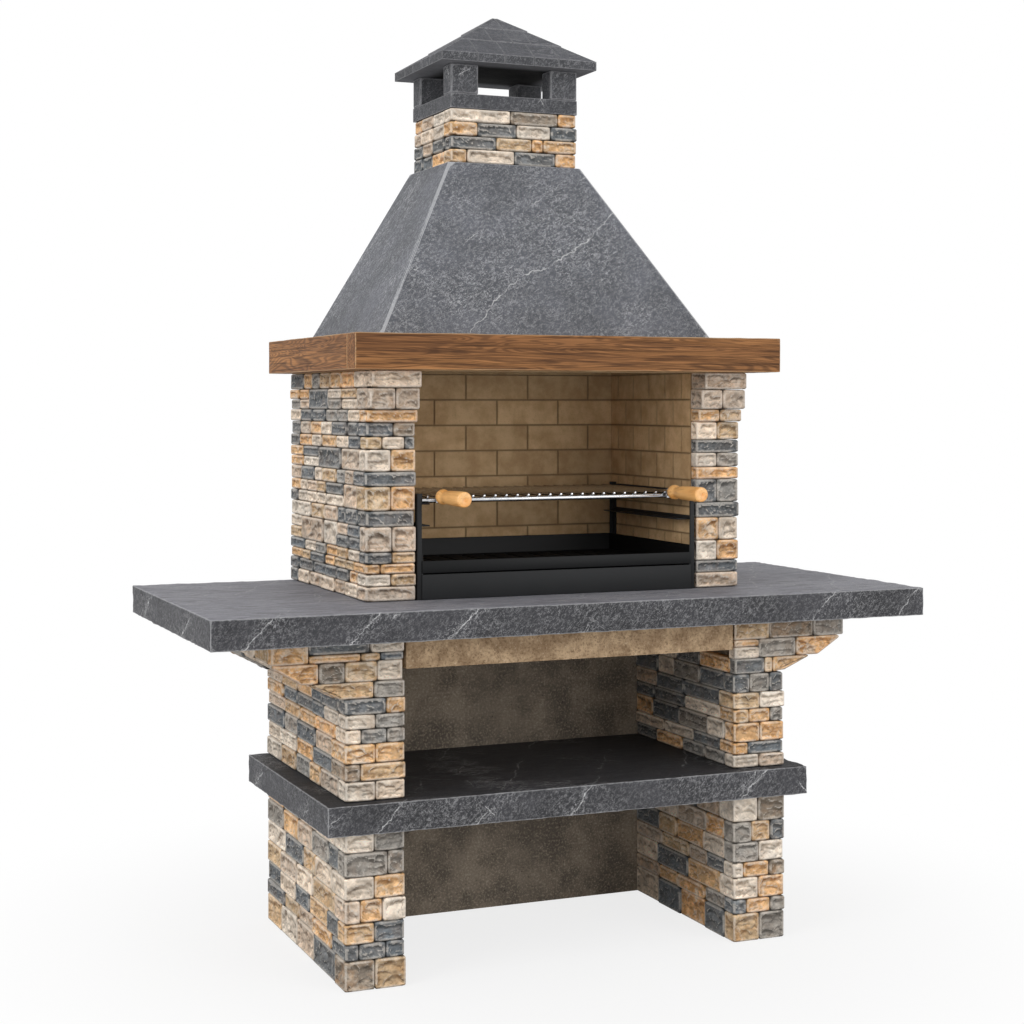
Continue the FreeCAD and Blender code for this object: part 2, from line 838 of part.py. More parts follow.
# Hearth slab: shows between the legs and bears on their cores and on the rear wall.
hearth_front = leg_front + size("hearth_recess")
shown_end = leg_in - size("stone_joint") / 2
hearth = new_body("hearth_slab")
hearth_outline = [
    (-shown_end, hearth_front),
    (shown_end, hearth_front),
    (shown_end, core_front),
    (hearth_end, core_front),
    (hearth_end, leg_rear),
    (-hearth_end, leg_rear),
    (-hearth_end, core_front),
    (-shown_end, core_front),
]
pad(hearth, sketch(hearth, LEVEL, [hearth_outline], under_hearth), size("hearth_thickness"))
keep(hearth, "hearth_slab")

# Worktop slab.
worktop_x = (-(size("worktop_width") / 2), size("worktop_width") / 2)
worktop = slab("worktop_slab", worktop_x, (front, rear), (under_top, top), size("slab_arris"))
keep(worktop, "worktop_slab")

# Firebox piers with cladding outside and firebrick inside.
for word, side in SIDES.items():
    label = f"{word}_pier_core"
    core_x = reach(side, pier_core_in, pier_core_out)
    keep(box(label, core_x, (pier_core_front, rear), (top, pier_top)), label)
    rng = random.Random(f"pier {word}")
    group(f"{word}_pier_stones", clad_pier(side, PIER_COURSES[word], PIER_JOINTS[word], rng))
    lining = Face(side * float(pier_in), float(pier_core_front), (0, 1), (-side, 0))
    deep = float(brick_face - pier_core_front)
    header = deep / max(2, round(deep / mm("brick_header")))
    bricks = lay_bricks(lining, deep, float(top), float(pier_top), header, header)
    group(f"{word}_firebricks", bricks)

firebox_wall_x = (-pier_core_in, pier_core_in)
firebox_wall = box("firebox_rear_wall", firebox_wall_x, (wall_front, rear), (top, pier_top))
keep(firebox_wall, "firebox_rear_wall")
lining = Face(-float(pier_core_in), float(brick_face), (1, 0), (0, -1))
wide = 2 * float(pier_core_in)
brick = mm("brick_length")
bricks = lay_bricks(lining, wide, float(top), float(pier_top), brick, BOND_START * brick)
group("rear_firebricks", bricks)

# Concrete frame that spans the piers and carries the hood, and the mantel round it.
hood_frame = new_body("hood_support_frame")
throat_rear = brick_face
throat_front = throat_rear - size("throat_depth")
frame_outline = rectangle((-frame_out, frame_out), (frame_front, rear))
throat = rectangle((-pier_in, pier_in), (throat_front, throat_rear))
pad(hood_frame, sketch(hood_frame, LEVEL, [frame_outline, throat], pier_top), size("mantel_height"))
keep(hood_frame, "hood_support_frame")


def timber(label, x, y):
    body = new_body(label)
    block = pad(body, sketch(body, LEVEL, [rectangle(x, y)], pier_top), size("mantel_height"))
    bevel(body, block, size("mantel_edge"))
    return keep(body, label)


timber("mantel_front_beam", (-mantel_out, mantel_out), (mantel_front, frame_front))
for word, side in SIDES.items():
    timber(f"mantel_{word}_return", reach(side, frame_out, mantel_out), (frame_front, rear))

# Hood: four mitred slabs that lean in from the frame to the chimney neck, each with half of
# the nicked arris that shows at the corners.
HOOD_SIDES = ("front", "right", "rear", "left")


def hood_ring(level, out, near, far, turn):
    """Plan of one hood slab at a level: nicked outside corners, mitred to the inside."""
    shell = mm("hood_shell")
    nick = mm("hood_arris")
    corners = [(-out, near, 1, 1), (out, near, -1, 1), (out, far, -1, -1), (-out, far, 1, -1)]
    run = ((1, 0), (0, 1), (-1, 0), (0, -1))[turn]
    a = corners[turn]
    b = corners[(turn + 1) % 4]
    plan = [
        (a[0] + nick * run[0], a[1] + nick * run[1]),
        (b[0] - nick * run[0], b[1] - nick * run[1]),
        (b[0] + nick / 2 * b[2], b[1] + nick / 2 * b[3]),
        (b[0] + shell * b[2], b[1] + shell * b[3]),
        (a[0] + shell * a[2], a[1] + shell * a[3]),
        (a[0] + nick / 2 * a[2], a[1] + nick / 2 * a[3]),
    ]
    return [FreeCAD.Vector(x, y, level) for x, y in plan]


for turn, word in enumerate(HOOD_SIDES):
    foot = hood_ring(*(float(item) for item in (mantel_top, hood_out, hood_front, rear)), turn)
    head = hood_ring(*(float(item) for item in (hood_top, neck_out, neck_front, neck_rear)), turn)
    group(f"hood_{word}_panel", [between(foot, head)])

# Chimney: a hollow flue block inside four courses of stone.
flue_hole = rectangle((-flue_out, flue_out), (flue_front, flue_rear))
flue = new_body("chimney_flue_block")
block_x = (-(chimney_out - stone), chimney_out - stone)
block_y = (chimney_front + stone, chimney_rear - stone)
flue_outlines = [rectangle(block_x, block_y), flue_hole]
pad(flue, sketch(flue, LEVEL, flue_outlines, hood_top), size("chimney_height"))
keep(flue, "chimney_flue_block")
chimney_dice = random.Random("chimney")
group("chimney_stones", clad_chimney(CHIMNEY_COURSES, CHIMNEY_JOINTS, chimney_dice))

# Cap: a base ring on the chimney, four corner posts, and a roof block under slate tiles.
base = new_body("cap_base_ring")
base_outlines = [rectangle((-chimney_out, chimney_out), (chimney_front, chimney_rear)), flue_hole]
pad(base, sketch(base, LEVEL, base_outlines, chimney_top), size("cap_base_height"))
keep(base, "cap_base_ring")

for word, side in SIDES.items():
    post_x = reach(side, chimney_out - size("cap_post_width"), chimney_out)
    front_y = (chimney_front, chimney_front + size("cap_post_depth"))
    rear_y = (chimney_rear - size("cap_post_depth"), chimney_rear)
    for place, post_y in (("front", front_y), ("rear", rear_y)):
        label = f"cap_{place}_{word}_post"
        keep(slab(label, post_x, post_y, (base_top, post_top), size("cap_arris")), label)

eave_out = chimney_out + size("eave_reach")
eave_deep = size("chimney_depth") / 2 + size("eave_reach")
ROOF_TIP = 0.035


def roof_ring(share):
    """Plan of the roof at a share of the way from the peak to the eave."""
    level = float(post_top) + (1 - share) * mm("roof_rise")
    out = share * float(eave_out)
    deep = share * float(eave_deep)
    centre = FreeCAD.Vector(0, float(chimney_mid), level)
    turns = ((-1, -1), (1, -1), (1, 1), (-1, 1))
    return [centre + FreeCAD.Vector(out * x, deep * y, 0) for x, y in turns]


group("cap_roof_block", [between(roof_ring(1), roof_ring(ROOF_TIP))])

# Tile courses from the eave up: where each starts and ends, as shares of the way from the
# peak, and its upright joints as shares of the half width. The end tiles run to the hips.
PAST_HIPS = 2
TILE_COURSES = (
    (1.0, 0.66, (-0.55, -0.2, 0.18, 0.5)),
    (0.66, 0.33, (-0.25, 0.02, 0.26)),
    (0.33, ROOF_TIP, (0.0,)),
)


def roof_tiles():
    """Tiles on the four slopes, each course standing on the head of the one below."""
    tiles = []
    gap = mm("tile_joint") / 2
    out = float(eave_out)
    deep = float(eave_deep)
    centre = FreeCAD.Vector(0, float(chimney_mid), float(post_top))
    for turn in range(4):
        down = FreeCAD.Vector(math.sin(turn * math.pi / 2), -math.cos(turn * math.pi / 2), 0)
        across = FreeCAD.Vector(math.cos(turn * math.pi / 2), math.sin(turn * math.pi / 2), 0)
        fall, half = (deep, out) if turn % 2 == 0 else (out, deep)
        for foot, head, joints in TILE_COURSES:
            marks = [-PAST_HIPS] + list(joints) + [PAST_HIPS]
            lifts = ((foot, mm("tile_edge")), (head, mm("tile_edge") - mm("tile_lap")))
            for pair in zip(marks, marks[1:]):
                beds = []
                for share, rise in lifts:
                    hip = share * half - gap
                    low = max(-hip, pair[0] * half + gap)
                    high = min(hip, pair[1] * half - gap)
                    plain = centre + down * (share * fall)
                    plain = plain + FreeCAD.Vector(0, 0, (1 - share) * mm("roof_rise"))
                    beds.append([plain + across * low, plain + across * high, rise])
                (a, b, thick), (c, d, thin) = beds
                lower = [a, b, d, c]
                edges = (thick, thick, thin, thin)
                upper = [spot + FreeCAD.Vector(0, 0, edge) for spot, edge in zip(lower, edges)]
                tiles.append(between(lower, upper))
    return tiles


group("cap_roof_tiles", roof_tiles())

# Fire insert: a folded casing on the worktop carries the ember tray over the ash drawer.
sheet_steel = size("sheet")
play = size("slide_play")
insert_out = pier_in - size("insert_side_gap") - size("upright_width")
insert_front = pier_front
insert_rear = brick_face - size("insert_rear_gap")
drawer_top = top + size("drawer_lift") + size("drawer_height")
tray_floor = drawer_top + size("drawer_gap")
tray_rim = tray_floor + size("tray_height")
casing_front = insert_front + sheet_steel + play

casing = new_body("insert_casing")
casing_outline = [
    (-insert_out, casing_front),
    (-insert_out + sheet_steel, casing_front),
    (-insert_out + sheet_steel, insert_rear - sheet_steel),
    (insert_out - sheet_steel, insert_rear - sheet_steel),
    (insert_out - sheet_steel, casing_front),
    (insert_out, casing_front),
    (insert_out, insert_rear),
    (-insert_out, insert_rear),
]
pad(casing, sketch(casing, LEVEL, [casing_outline], top), tray_floor - top)
keep(casing, "insert_casing")

tray = new_body("ember_tray")
tray_outline = rectangle((-insert_out, insert_out), (insert_front, insert_rear))
wall_top = tray_rim + size("tray_wall_rise")
pad(tray, sketch(tray, LEVEL, [tray_outline], tray_floor), wall_top - tray_floor)
inner_x = (-insert_out + sheet_steel, insert_out - sheet_steel)
inner_y = (insert_front + sheet_steel, insert_rear - sheet_steel)
tray_hollow = sketch(tray, LEVEL, [rectangle(inner_x, inner_y)], wall_top)
pocket(tray, tray_hollow, wall_top - tray_floor - sheet_steel)
low_front = rectangle((-insert_out, insert_out), (insert_front, insert_front + sheet_steel))
pocket(tray, sketch(tray, LEVEL, [low_front], wall_top), size("tray_wall_rise"))
slot_count = math.floor(2 * float(insert_out) / mm("tray_slot_pitch")) - 1
slot_run = size("tray_slot_pitch") * (slot_count - 1)
slot_half = size("tray_slot_width") / 2
slot_x = (-(slot_run / 2) - slot_half, -(slot_run / 2) + slot_half)
insert_mid = (insert_front + insert_rear) / 2
slots = []
for share in (-1, 1):
    slot_mid = insert_mid + (insert_rear - insert_front) / 4 * share
    slot_y = (slot_mid - size("tray_slot_length") / 2, slot_mid + size("tray_slot_length") / 2)
    slots.append(rectangle(slot_x, slot_y))
slot = pocket(tray, sketch(tray, LEVEL, slots, tray_floor + sheet_steel), sheet_steel)
pattern = tray.newObject("PartDesign::LinearPattern", "tray_slot_pattern")
pattern.Originals = [slot]
pattern.Direction = (slot.Profile[0], ["H_Axis"])
pattern.setExpression("Length", slot_run.text)
pattern.Occurrences = slot_count
tray.Tip = pattern
keep(tray, "ember_tray")

# Ash drawer: a folded pan, open to the front, and a front plate with a lip to pull it by.
drawer_out = insert_out - sheet_steel - size("drawer_side_play")
drawer_low = top + size("drawer_lift")
drawer_back = insert_rear - sheet_steel - size("drawer_side_play")
pan_top = drawer_top - size("drawer_gap") * 2
face_back = insert_front + sheet_steel

pan = new_body("ash_drawer_pan")
pan_outline = rectangle((-drawer_out, drawer_out), (face_back, drawer_back))
pad(pan, sketch(pan, LEVEL, [pan_outline], drawer_low), pan_top - drawer_low)
pan_x = (-drawer_out + sheet_steel, drawer_out - sheet_steel)
pan_y = (face_back, drawer_back - sheet_steel)
pan_hollow = sketch(pan, LEVEL, [rectangle(pan_x, pan_y)], pan_top)
pocket(pan, pan_hollow, pan_top - drawer_low - sheet_steel)
keep(pan, "ash_drawer_pan")

plate = new_body("ash_drawer_front")
plate_outline = rectangle((-insert_out, insert_out), (drawer_low, drawer_top))
pad(plate, sketch(plate, ALONG, [plate_outline], -face_back), sheet_steel)
lip = rectangle((-drawer_out, drawer_out), (insert_front, face_back + size("drawer_flange")))
pad(plate, sketch(plate, LEVEL, [lip], drawer_top - sheet_steel), sheet_steel)
keep(plate, "ash_drawer_front")

# Four corner uprights beside the casing, and two pairs of rails for the grill. The upper
# rails have an ear at the front that keeps the grill between them.
upright_in = insert_out
upright_out = upright_in + size("upright_width")
upright_flange = upright_out - sheet_steel
upright_depth = size("upright_depth")
front_heel = insert_front + sheet_steel
rear_heel = insert_rear
for word, side in SIDES.items():
    for place, heel, toe, web in (
        ("front", front_heel, front_heel + upright_depth, front_heel + sheet_steel),
        ("rear", rear_heel, rear_heel - upright_depth, rear_heel - sheet_steel),
    ):
        label = f"{word}_{place}_upright"
        outline = [
            (upright_in * side, heel),
            (upright_out * side, heel),
            (upright_out * side, toe),
            (upright_flange * side, toe),
            (upright_flange * side, web),
            (upright_in * side, web),
        ]
        body = new_body(label)
        pad(body, sketch(body, LEVEL, [outline], top), size("upright_height"))
        keep(body, label)
    rail_y = (front_heel + upright_depth, rear_heel - upright_depth)
    rail_in = upright_out - size("rail_leg")
    ear_in = upright_out - size("rail_ear")
    for place in ("upper", "lower"):
        label = f"{word}_{place}_rail"
        seat = top + size(f"{place}_rail_height")
        foot = seat - sheet_steel
        rim = foot + size(f"{place}_rail_rise")
        outline = [
            (rail_in, foot),
            (upright_out, foot),
            (upright_out, rim),
            (upright_flange, rim),
            (upright_flange, seat),
            (rail_in, seat),
        ]
        rail = profile(label, side, outline, rail_y)
        if place == "upper":
            ear = rectangle(reach(side, ear_in, upright_out), (foot, top + size("upright_height")))
            pad(rail, sketch(rail, ALONG, [ear], -rail_y[0] - sheet_steel), sheet_steel)
        keep(rail, label)

# Grill: wires welded across two bars that slide on the upper rails, with two turned handles.
bar_size = size("grill_bar")
bar_level = top + size("upper_rail_height") + play + bar_size / 2
bar_front = pier_front + size("grill_front_setback")
bar_rear = brick_face - size("grill_rear_gap")
bar_half = insert_out - size("grill_side_play")
for place, at in (("front", bar_front), ("rear", bar_rear)):
    label = f"grill_{place}_bar"
    bar = doc.addObject("Part::Cylinder", label)
    bar.setExpression("Radius", (bar_size / 2).text)
    bar.setExpression("Height", (bar_half * 2).text)
    bar.Placement.Rotation = FreeCAD.Rotation(FreeCAD.Vector(0, 1, 0), 90)
    bar.setExpression("Placement.Base.x", (-bar_half).text)
    bar.setExpression("Placement.Base.y", at.text)
    bar.setExpression("Placement.Base.z", bar_level.text)
    keep(bar, label)

wire = size("grill_wire")
wire_level = bar_level + bar_size / 2 + wire / 2 + size("weld_gap")
tang_size = size("tang_diameter")
tang_level = bar_level + bar_size / 2 + tang_size / 2 + size("weld_gap")
handle_at = bar_half - size("handle_inset")
WIRE_SIDES = 8


def wire_ring(across, along):
    """Section of a wire, with a flat at the bottom where it is welded to the bars."""
    corners = []
    for step in range(WIRE_SIDES):
        turn = (2 * step + 1) * math.pi / WIRE_SIDES
        radius = float(wire) / 2 / math.cos(math.pi / WIRE_SIDES)
        level = float(wire_level) + radius * math.cos(turn)
        corners.append(FreeCAD.Vector(across + radius * math.sin(turn), along, level))
    return corners


wire_span = 2 * (float(bar_half) - mm("grill_bar"))
wire_count = math.floor(wire_span / mm("grill_wire_pitch")) + 1
wire_front = float(bar_front) - mm("grill_wire_overhang")
wire_rear = float(bar_rear) + mm("grill_wire_overhang")
tang_room = float(wire + tang_size) / 2 + mm("weld_gap")
wires = []
for index in range(wire_count):
    across = (index - (wire_count - 1) / 2) * mm("grill_wire_pitch")
    if abs(abs(across) - float(handle_at)) < tang_room:
        across = math.copysign(float(handle_at) - tang_room, across)
    wires.append(between(wire_ring(across, wire_front), wire_ring(across, wire_rear)))
group("grill_wires", wires)

handle_root = bar_front - size("handle_gap")


BALL_BANDS = 4
HANDLE_SIDES = 20


def turned(stations, x, y, level):
    """A turned block from its section: distances forwards from a point, and radii."""
    faces = []
    for near, far in zip(stations, stations[1:] + stations[:1]):
        if near[1] == 0 and far[1] == 0:
            continue
        for step in range(HANDLE_SIDES):
            corners = []
            for (along, radius), turn in ((near, step), (near, step + 1), (far, step + 1), (far, step)):
                angle = 2 * math.pi * (turn % HANDLE_SIDES) / HANDLE_SIDES
                spot = FreeCAD.Vector(radius * math.cos(angle), -along, radius * math.sin(angle))
                corner = spot + FreeCAD.Vector(x, y, level)
                if corner not in corners:
                    corners.append(corner)
            faces.append(corners)
    return solid(faces)


def handle(word, side):
    """A turned handle: ball, neck, flare and slightly swelling grip, bored for its tang."""
    ball = mm("handle_bulb") / 2
    neck = mm("handle_neck") / 2
    grip = mm("handle_diameter") / 2
    hole = float(tang_size) / 2 + mm("weld_gap")
    ball_at = ball - mm("handle_bulb_flat")
    first = math.acos(ball_at / ball)
    last = math.pi - math.asin(neck / ball)
    stations = [(0, hole)]
    for band in range(BALL_BANDS + 1):
        turn = first + (last - first) * band / BALL_BANDS
        stations.append((ball_at - ball * math.cos(turn), ball * math.sin(turn)))
    neck_end = mm("handle_neck_length")
    tip = mm("handle_length")
    edge = mm("handle_bevel")
    stations += [
        (neck_end, neck),
        (neck_end + mm("handle_flare"), mm("handle_shoulder") / 2),
        (tip - edge, grip),
        (tip, grip - edge),
        (tip, 0),
        (mm("handle_seat"), 0),
        (mm("handle_seat"), hole),
    ]
    place = (side * float(handle_at), float(handle_root), float(tang_level))
    group(f"{word}_handle", [turned(stations, *place)])


def tang(word, side):
    """A round tang from under the wires into the handle, with a collar before the bar."""
    label = f"{word}_handle_tang"
    tang_front = handle_root - size("handle_seat") + play
    length = bar_front + size("tang_tail") - tang_front
    at = handle_at * side
    bar = rod(label + "_rod", tang_size, length, at, tang_front, tang_level)
    collar_x = (at - size("collar_width") / 2, at + size("collar_width") / 2)
    collar_rear = bar_front - size("collar_gap")
    collar_y = (collar_rear - size("collar_thickness"), collar_rear)
    collar_top = tang_level + size("collar_width") / 2
    collar_z = (collar_top - size("collar_rise"), collar_top)
    joined = doc.addObject("Part::MultiFuse", label)
    joined.Shapes = [bar, box(label + "_collar", collar_x, collar_y, collar_z)]
    keep(joined, label)


for word, side in SIDES.items():
    tang(word, side)
    handle(word, side)

doc.recompute()
os.makedirs("parts", exist_ok=True)
for item in doc.Objects:
    if any(word in ("Invalid", "Error") for word in item.State):
        raise RuntimeError(f"{item.Label} did not build: {item.State}")
for piece in pieces:
    if piece.Shape.isNull() or not piece.Shape.isValid():
        raise RuntimeError(f"{piece.Label} has no valid shape")
    piece.Shape.exportStep(os.path.join("parts", piece.Label + ".step"))
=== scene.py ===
import math
import random

import bpy
import numpy as np
from mathutils import Matrix, Vector


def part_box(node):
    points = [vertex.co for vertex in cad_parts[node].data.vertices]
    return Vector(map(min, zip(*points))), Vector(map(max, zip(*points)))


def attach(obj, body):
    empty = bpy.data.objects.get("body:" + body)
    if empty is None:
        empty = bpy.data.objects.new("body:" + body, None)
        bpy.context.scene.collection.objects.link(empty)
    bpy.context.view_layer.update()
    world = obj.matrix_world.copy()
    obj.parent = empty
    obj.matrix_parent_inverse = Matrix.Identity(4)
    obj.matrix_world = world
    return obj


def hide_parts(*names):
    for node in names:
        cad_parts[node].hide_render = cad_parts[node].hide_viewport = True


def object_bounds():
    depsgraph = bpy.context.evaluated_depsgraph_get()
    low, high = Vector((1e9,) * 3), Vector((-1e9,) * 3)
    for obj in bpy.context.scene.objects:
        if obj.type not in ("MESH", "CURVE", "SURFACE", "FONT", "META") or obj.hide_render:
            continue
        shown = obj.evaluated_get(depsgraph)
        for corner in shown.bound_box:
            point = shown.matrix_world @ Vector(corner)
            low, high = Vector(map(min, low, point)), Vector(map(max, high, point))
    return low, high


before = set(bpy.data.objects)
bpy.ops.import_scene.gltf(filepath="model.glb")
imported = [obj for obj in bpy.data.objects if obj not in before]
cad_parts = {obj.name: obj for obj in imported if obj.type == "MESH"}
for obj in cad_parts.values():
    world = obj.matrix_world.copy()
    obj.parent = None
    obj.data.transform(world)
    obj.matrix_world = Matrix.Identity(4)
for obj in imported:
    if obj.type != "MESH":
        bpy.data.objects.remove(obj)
cad_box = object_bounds()

# Studio: a camera at eye height, a pale floor and soft lamps to the left, the right and above.
# The floor keeps the barbecue's shadow near its feet and runs out to plain white further off.
bpy.ops.object.select_all(action="DESELECT")
bpy.context.scene.view_settings.view_transform = "Standard"
bpy.ops.object.camera_add(
    location=(-1.8291, -4.2461, 1.3145),
    rotation=(math.radians(90), 0, math.radians(-22.88)),
)
camera = bpy.context.object
camera.data.sensor_width = 36
camera.data.lens = 65.1
camera.data.shift_y = -0.1054
bpy.context.scene.camera = camera


def tint(code):
    """A colour as it shows on a screen, for a shader's socket."""
    parts = [int(code[at:at + 2], 16) / 255 for at in (1, 3, 5)]
    flat = [p / 12.92 if p <= 0.04045 else ((p + 0.055) / 1.055) ** 2.4 for p in parts]
    return (*flat, 1.0)


class Shade:
    """A socket in a finish's nodes. Sums with it add Math nodes."""

    def __init__(self, tree, socket):
        self.tree = tree
        self.socket = socket

    def node(self, kind, values=None, out=0, stops=None, **settings):
        made = self.tree.nodes.new(kind)
        for word, value in settings.items():
            setattr(made, word, value)
        for spot, value in stops or ():
            made.color_ramp.elements.new(min(max(spot, 0), 1)).color = (value, value, value, 1)
        for place, value in (values or {}).items():
            if isinstance(value, Shade):
                self.tree.links.new(value.socket, made.inputs[place])
            else:
                made.inputs[place].default_value = value
        return Shade(self.tree, made.outputs[out])

    def to(self, shader, socket):
        self.tree.links.new(self.socket, shader.inputs[socket])

    def sum(self, operation, first, second=0.0):
        return self.node("ShaderNodeMath", {0: first, 1: second}, operation=operation)

    def __add__(self, other):
        return self.sum("ADD", self, other)

    def __radd__(self, other):
        return self.sum("ADD", other, self)

    def __sub__(self, other):
        return self.sum("SUBTRACT", self, other)

    def __rsub__(self, other):
        return self.sum("SUBTRACT", other, self)

    def __mul__(self, other):
        return self.sum("MULTIPLY", self, other)

    def __rmul__(self, other):
        return self.sum("MULTIPLY", other, self)

    def __truediv__(self, other):
        return self.sum("DIVIDE", self, other)

    def __abs__(self):
        return self.sum("ABSOLUTE", self)

    def most(self, other):
        return self.sum("MAXIMUM", self, other)

    def least(self, other):
        return self.sum("MINIMUM", self, other)

    def fraction(self):
        return self.sum("FRACT", self)

    def sine(self):
        return self.sum("SINE", self)

    def rise(self, low, high):
        """0 below low, 1 above high, and a smooth climb between."""
        values = {"Value": self, "From Min": low, "From Max": high}
        return self.node("ShaderNodeMapRange", values, interpolation_type="SMOOTHSTEP")

    def blend(self, first, second, **settings):
        """From the first colour to the second, by this share."""
        return self.node(
            "ShaderNodeMix", {0: self, 6: first, 7: second}, 2, data_type="RGBA", **settings
        )

    def darken(self, colour):
        """A colour times this value."""
        return self.node(
            "ShaderNodeMix", {0: 1.0, 6: colour, 7: self}, 2, data_type="RGBA",
            blend_type="MULTIPLY",
        )

    def noise(self, scale, detail=2.0, roughness=0.5, distortion=0.0):
        values = {"Vector": self, "Scale": scale, "Detail": detail,
                  "Roughness": roughness, "Distortion": distortion}
        return self.node("ShaderNodeTexNoise", values)

    def stretched(self, scale, shift=(0, 0, 0)):
        """A place with each axis drawn out or pressed together."""
        return self.node("ShaderNodeMapping", {"Vector": self, "Scale": scale, "Location": shift})

    def axis(self, letter):
        return self.node("ShaderNodeSeparateXYZ", {0: self}, letter)

    def along(self, direction):
        """How far a place lies in a direction."""
        return self.node(
            "ShaderNodeVectorMath", {0: self, 1: direction}, "Value", operation="DOT_PRODUCT"
        )

    def attribute(self, name, out="Fac"):
        return self.node("ShaderNodeAttribute", out=out, attribute_name=name)

    def bumps(self, distance, strength=1.0):
        """A surface that rises by a distance where this value goes from 0 to 1."""
        values = {"Height": self, "Distance": distance, "Strength": strength}
        return self.node("ShaderNodeBump", values)


def seen_directly(shade):
    """1 for rays from the camera, mirrors and glass, 0 for rays that only carry light."""
    rays = shade.node("ShaderNodeLightPath", out="Is Camera Ray")
    rays = rays + shade.node("ShaderNodeLightPath", out="Is Glossy Ray")
    rays = rays + shade.node("ShaderNodeLightPath", out="Is Transmission Ray")
    return rays.least(1.0)


WORLD_LIGHT = 0.62
world = bpy.data.worlds.new("studio_air")
world.use_nodes = True
bpy.context.scene.world = world
backdrop = world.node_tree.nodes["Background"]
backdrop.inputs["Color"].default_value = (1, 1, 1, 1)
air = Shade(world.node_tree, None)
(WORLD_LIGHT + (1 - WORLD_LIGHT) * seen_directly(air)).to(backdrop, "Strength")

LAMPS = (
    ("left_lamp", (-5.0, -2.0, 3.2), 3.0, 105),
    ("right_lamp", (2.6, -5.0, 2.2), 3.0, 72),
    ("top_lamp", (-0.8, -1.2, 5.4), 3.2, 20),
)
for name, spot, width, power in LAMPS:
    aim = (Vector((0, 0, 1.0)) - Vector(spot)).to_track_quat("-Z", "Y").to_euler()
    bpy.ops.object.light_add(type="AREA", location=spot, rotation=aim)
    lamp = bpy.context.object
    lamp.name = name
    lamp.data.size = width
    lamp.data.energy = power


def start_finish(name):
    """A new material, its shader, and the place on the piece that its patterns follow."""
    material = bpy.data.materials.new(name)
    material.use_nodes = True
    tree = material.node_tree
    place = Shade(tree, tree.nodes.new("ShaderNodeTexCoord").outputs["Object"])
    return material, tree.nodes["Principled BSDF"], place


bpy.ops.mesh.primitive_plane_add(size=30)
floor = bpy.context.object
floor.name = "studio_floor"
floor_paint, floor_shader, place = start_finish("floor_paint")
floor_shader.inputs["Base Color"].default_value = (0.9, 0.9, 0.9, 1)
floor_shader.inputs["Roughness"].default_value = 0.9
floor_shader.inputs["Specular IOR Level"].default_value = 0.1
far_off = place.node("ShaderNodeVectorMath", {0: place}, "Value", operation="LENGTH")
white = place.node("ShaderNodeEmission", {"Color": (1, 1, 1, 1)})
painted = Shade(place.tree, floor_shader.outputs["BSDF"])
share = (0.8 + 0.2 * far_off.rise(0.6, 1.7)) * seen_directly(place)
floor_mix = place.node("ShaderNodeMixShader", {0: share, 1: painted, 2: white})
floor_mix.to(place.tree.nodes["Material Output"], "Surface")
floor.data.materials.append(floor_paint)

# Lower leg cores and the rear wall of the lower niche: cast concrete, brown-grey and blotched,
# with fine sand and a few small holes left by the casting.
concrete, concrete_shader, place = start_finish("cast_concrete")
blotch = place.noise(8, 6, 0.62)
sand = place.noise(170, 4, 0.75)
colour = blotch.rise(0.36, 0.64).blend(tint("#6a6157"), tint("#9c8f7f"))
colour = (sand.rise(0.5, 0.66) * 0.7).blend(colour, tint("#c9bba5"))
colour = ((1 - sand).rise(0.52, 0.7) * 0.5).blend(colour, tint("#544c43"))
stain = place.stretched((5, 5, 1.4)).noise(1, 4, 0.6).rise(0.5, 0.72)
colour = (stain * 0.4).blend(colour, tint("#625a50"))
holes = place.node("ShaderNodeTexVoronoi", {"Vector": place, "Scale": 46.0}).rise(0.06, 0.13)
colour = (0.55 + 0.45 * holes).darken(colour)
colour.to(concrete_shader, "Base Color")
(0.82 + 0.14 * sand).to(concrete_shader, "Roughness")
(sand * 0.35 + blotch * 0.5 + holes * 0.5).bumps(0.0016).to(concrete_shader, "Normal")


def dress(finish, *names):
    """Gives CAD nodes that keep their shape a finish."""
    for name in names:
        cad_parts[name].material_slots[0].material = finish


dress(concrete, "left_lower_leg_core", "right_lower_leg_core", "lower_rear_wall")

# Stones of the lower legs: split rock-faced stone in cream, beige, ochre and slate grey, laid in
# thin courses on the core. Long corner stones wrap round the ends of each leg in turn.
KINDS = {
    "C": ("#e4d5c3", 0.24),
    "B": ("#c8b5a2", 0.38),
    "T": ("#cbae8a", 0.62),
    "O": ("#e2b685", 0.85),
    "G": ("#96928c", 0.18),
    "D": ("#6d7174", 0.1),
    "N": ("#94887a", 0.42),
}
MIXED = "CCCCCBBBTTTOOOOGGDDDDDDD"
SIDES = ("left", "right")


def copy_of(node, name):
    """A copy of a CAD node's mesh, its triangles joined to flat faces, ready to be shaped."""
    piece = bpy.data.objects.new(name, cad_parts[node].data.copy())
    bpy.context.scene.collection.objects.link(piece)
    take(piece)
    bpy.ops.object.mode_set(mode="EDIT")
    bpy.ops.mesh.select_mode(type="EDGE")
    bpy.ops.mesh.select_all(action="SELECT")
    bpy.ops.mesh.customdata_custom_splitnormals_clear()
    bpy.ops.mesh.remove_doubles(threshold=1e-5)
    bpy.ops.mesh.mark_sharp(clear=True)
    bpy.ops.mesh.dissolve_limited(angle_limit=math.radians(2))
    bpy.ops.object.mode_set(mode="OBJECT")
    return piece


def take(piece):
    """Selects one piece alone, as the one to work on."""
    bpy.ops.object.select_all(action="DESELECT")
    piece.select_set(True)
    bpy.context.view_layer.objects.active = piece


def points_of(piece):
    spots = np.empty(len(piece.data.vertices) * 3)
    piece.data.vertices.foreach_get("co", spots)
    return spots.reshape(-1, 3)


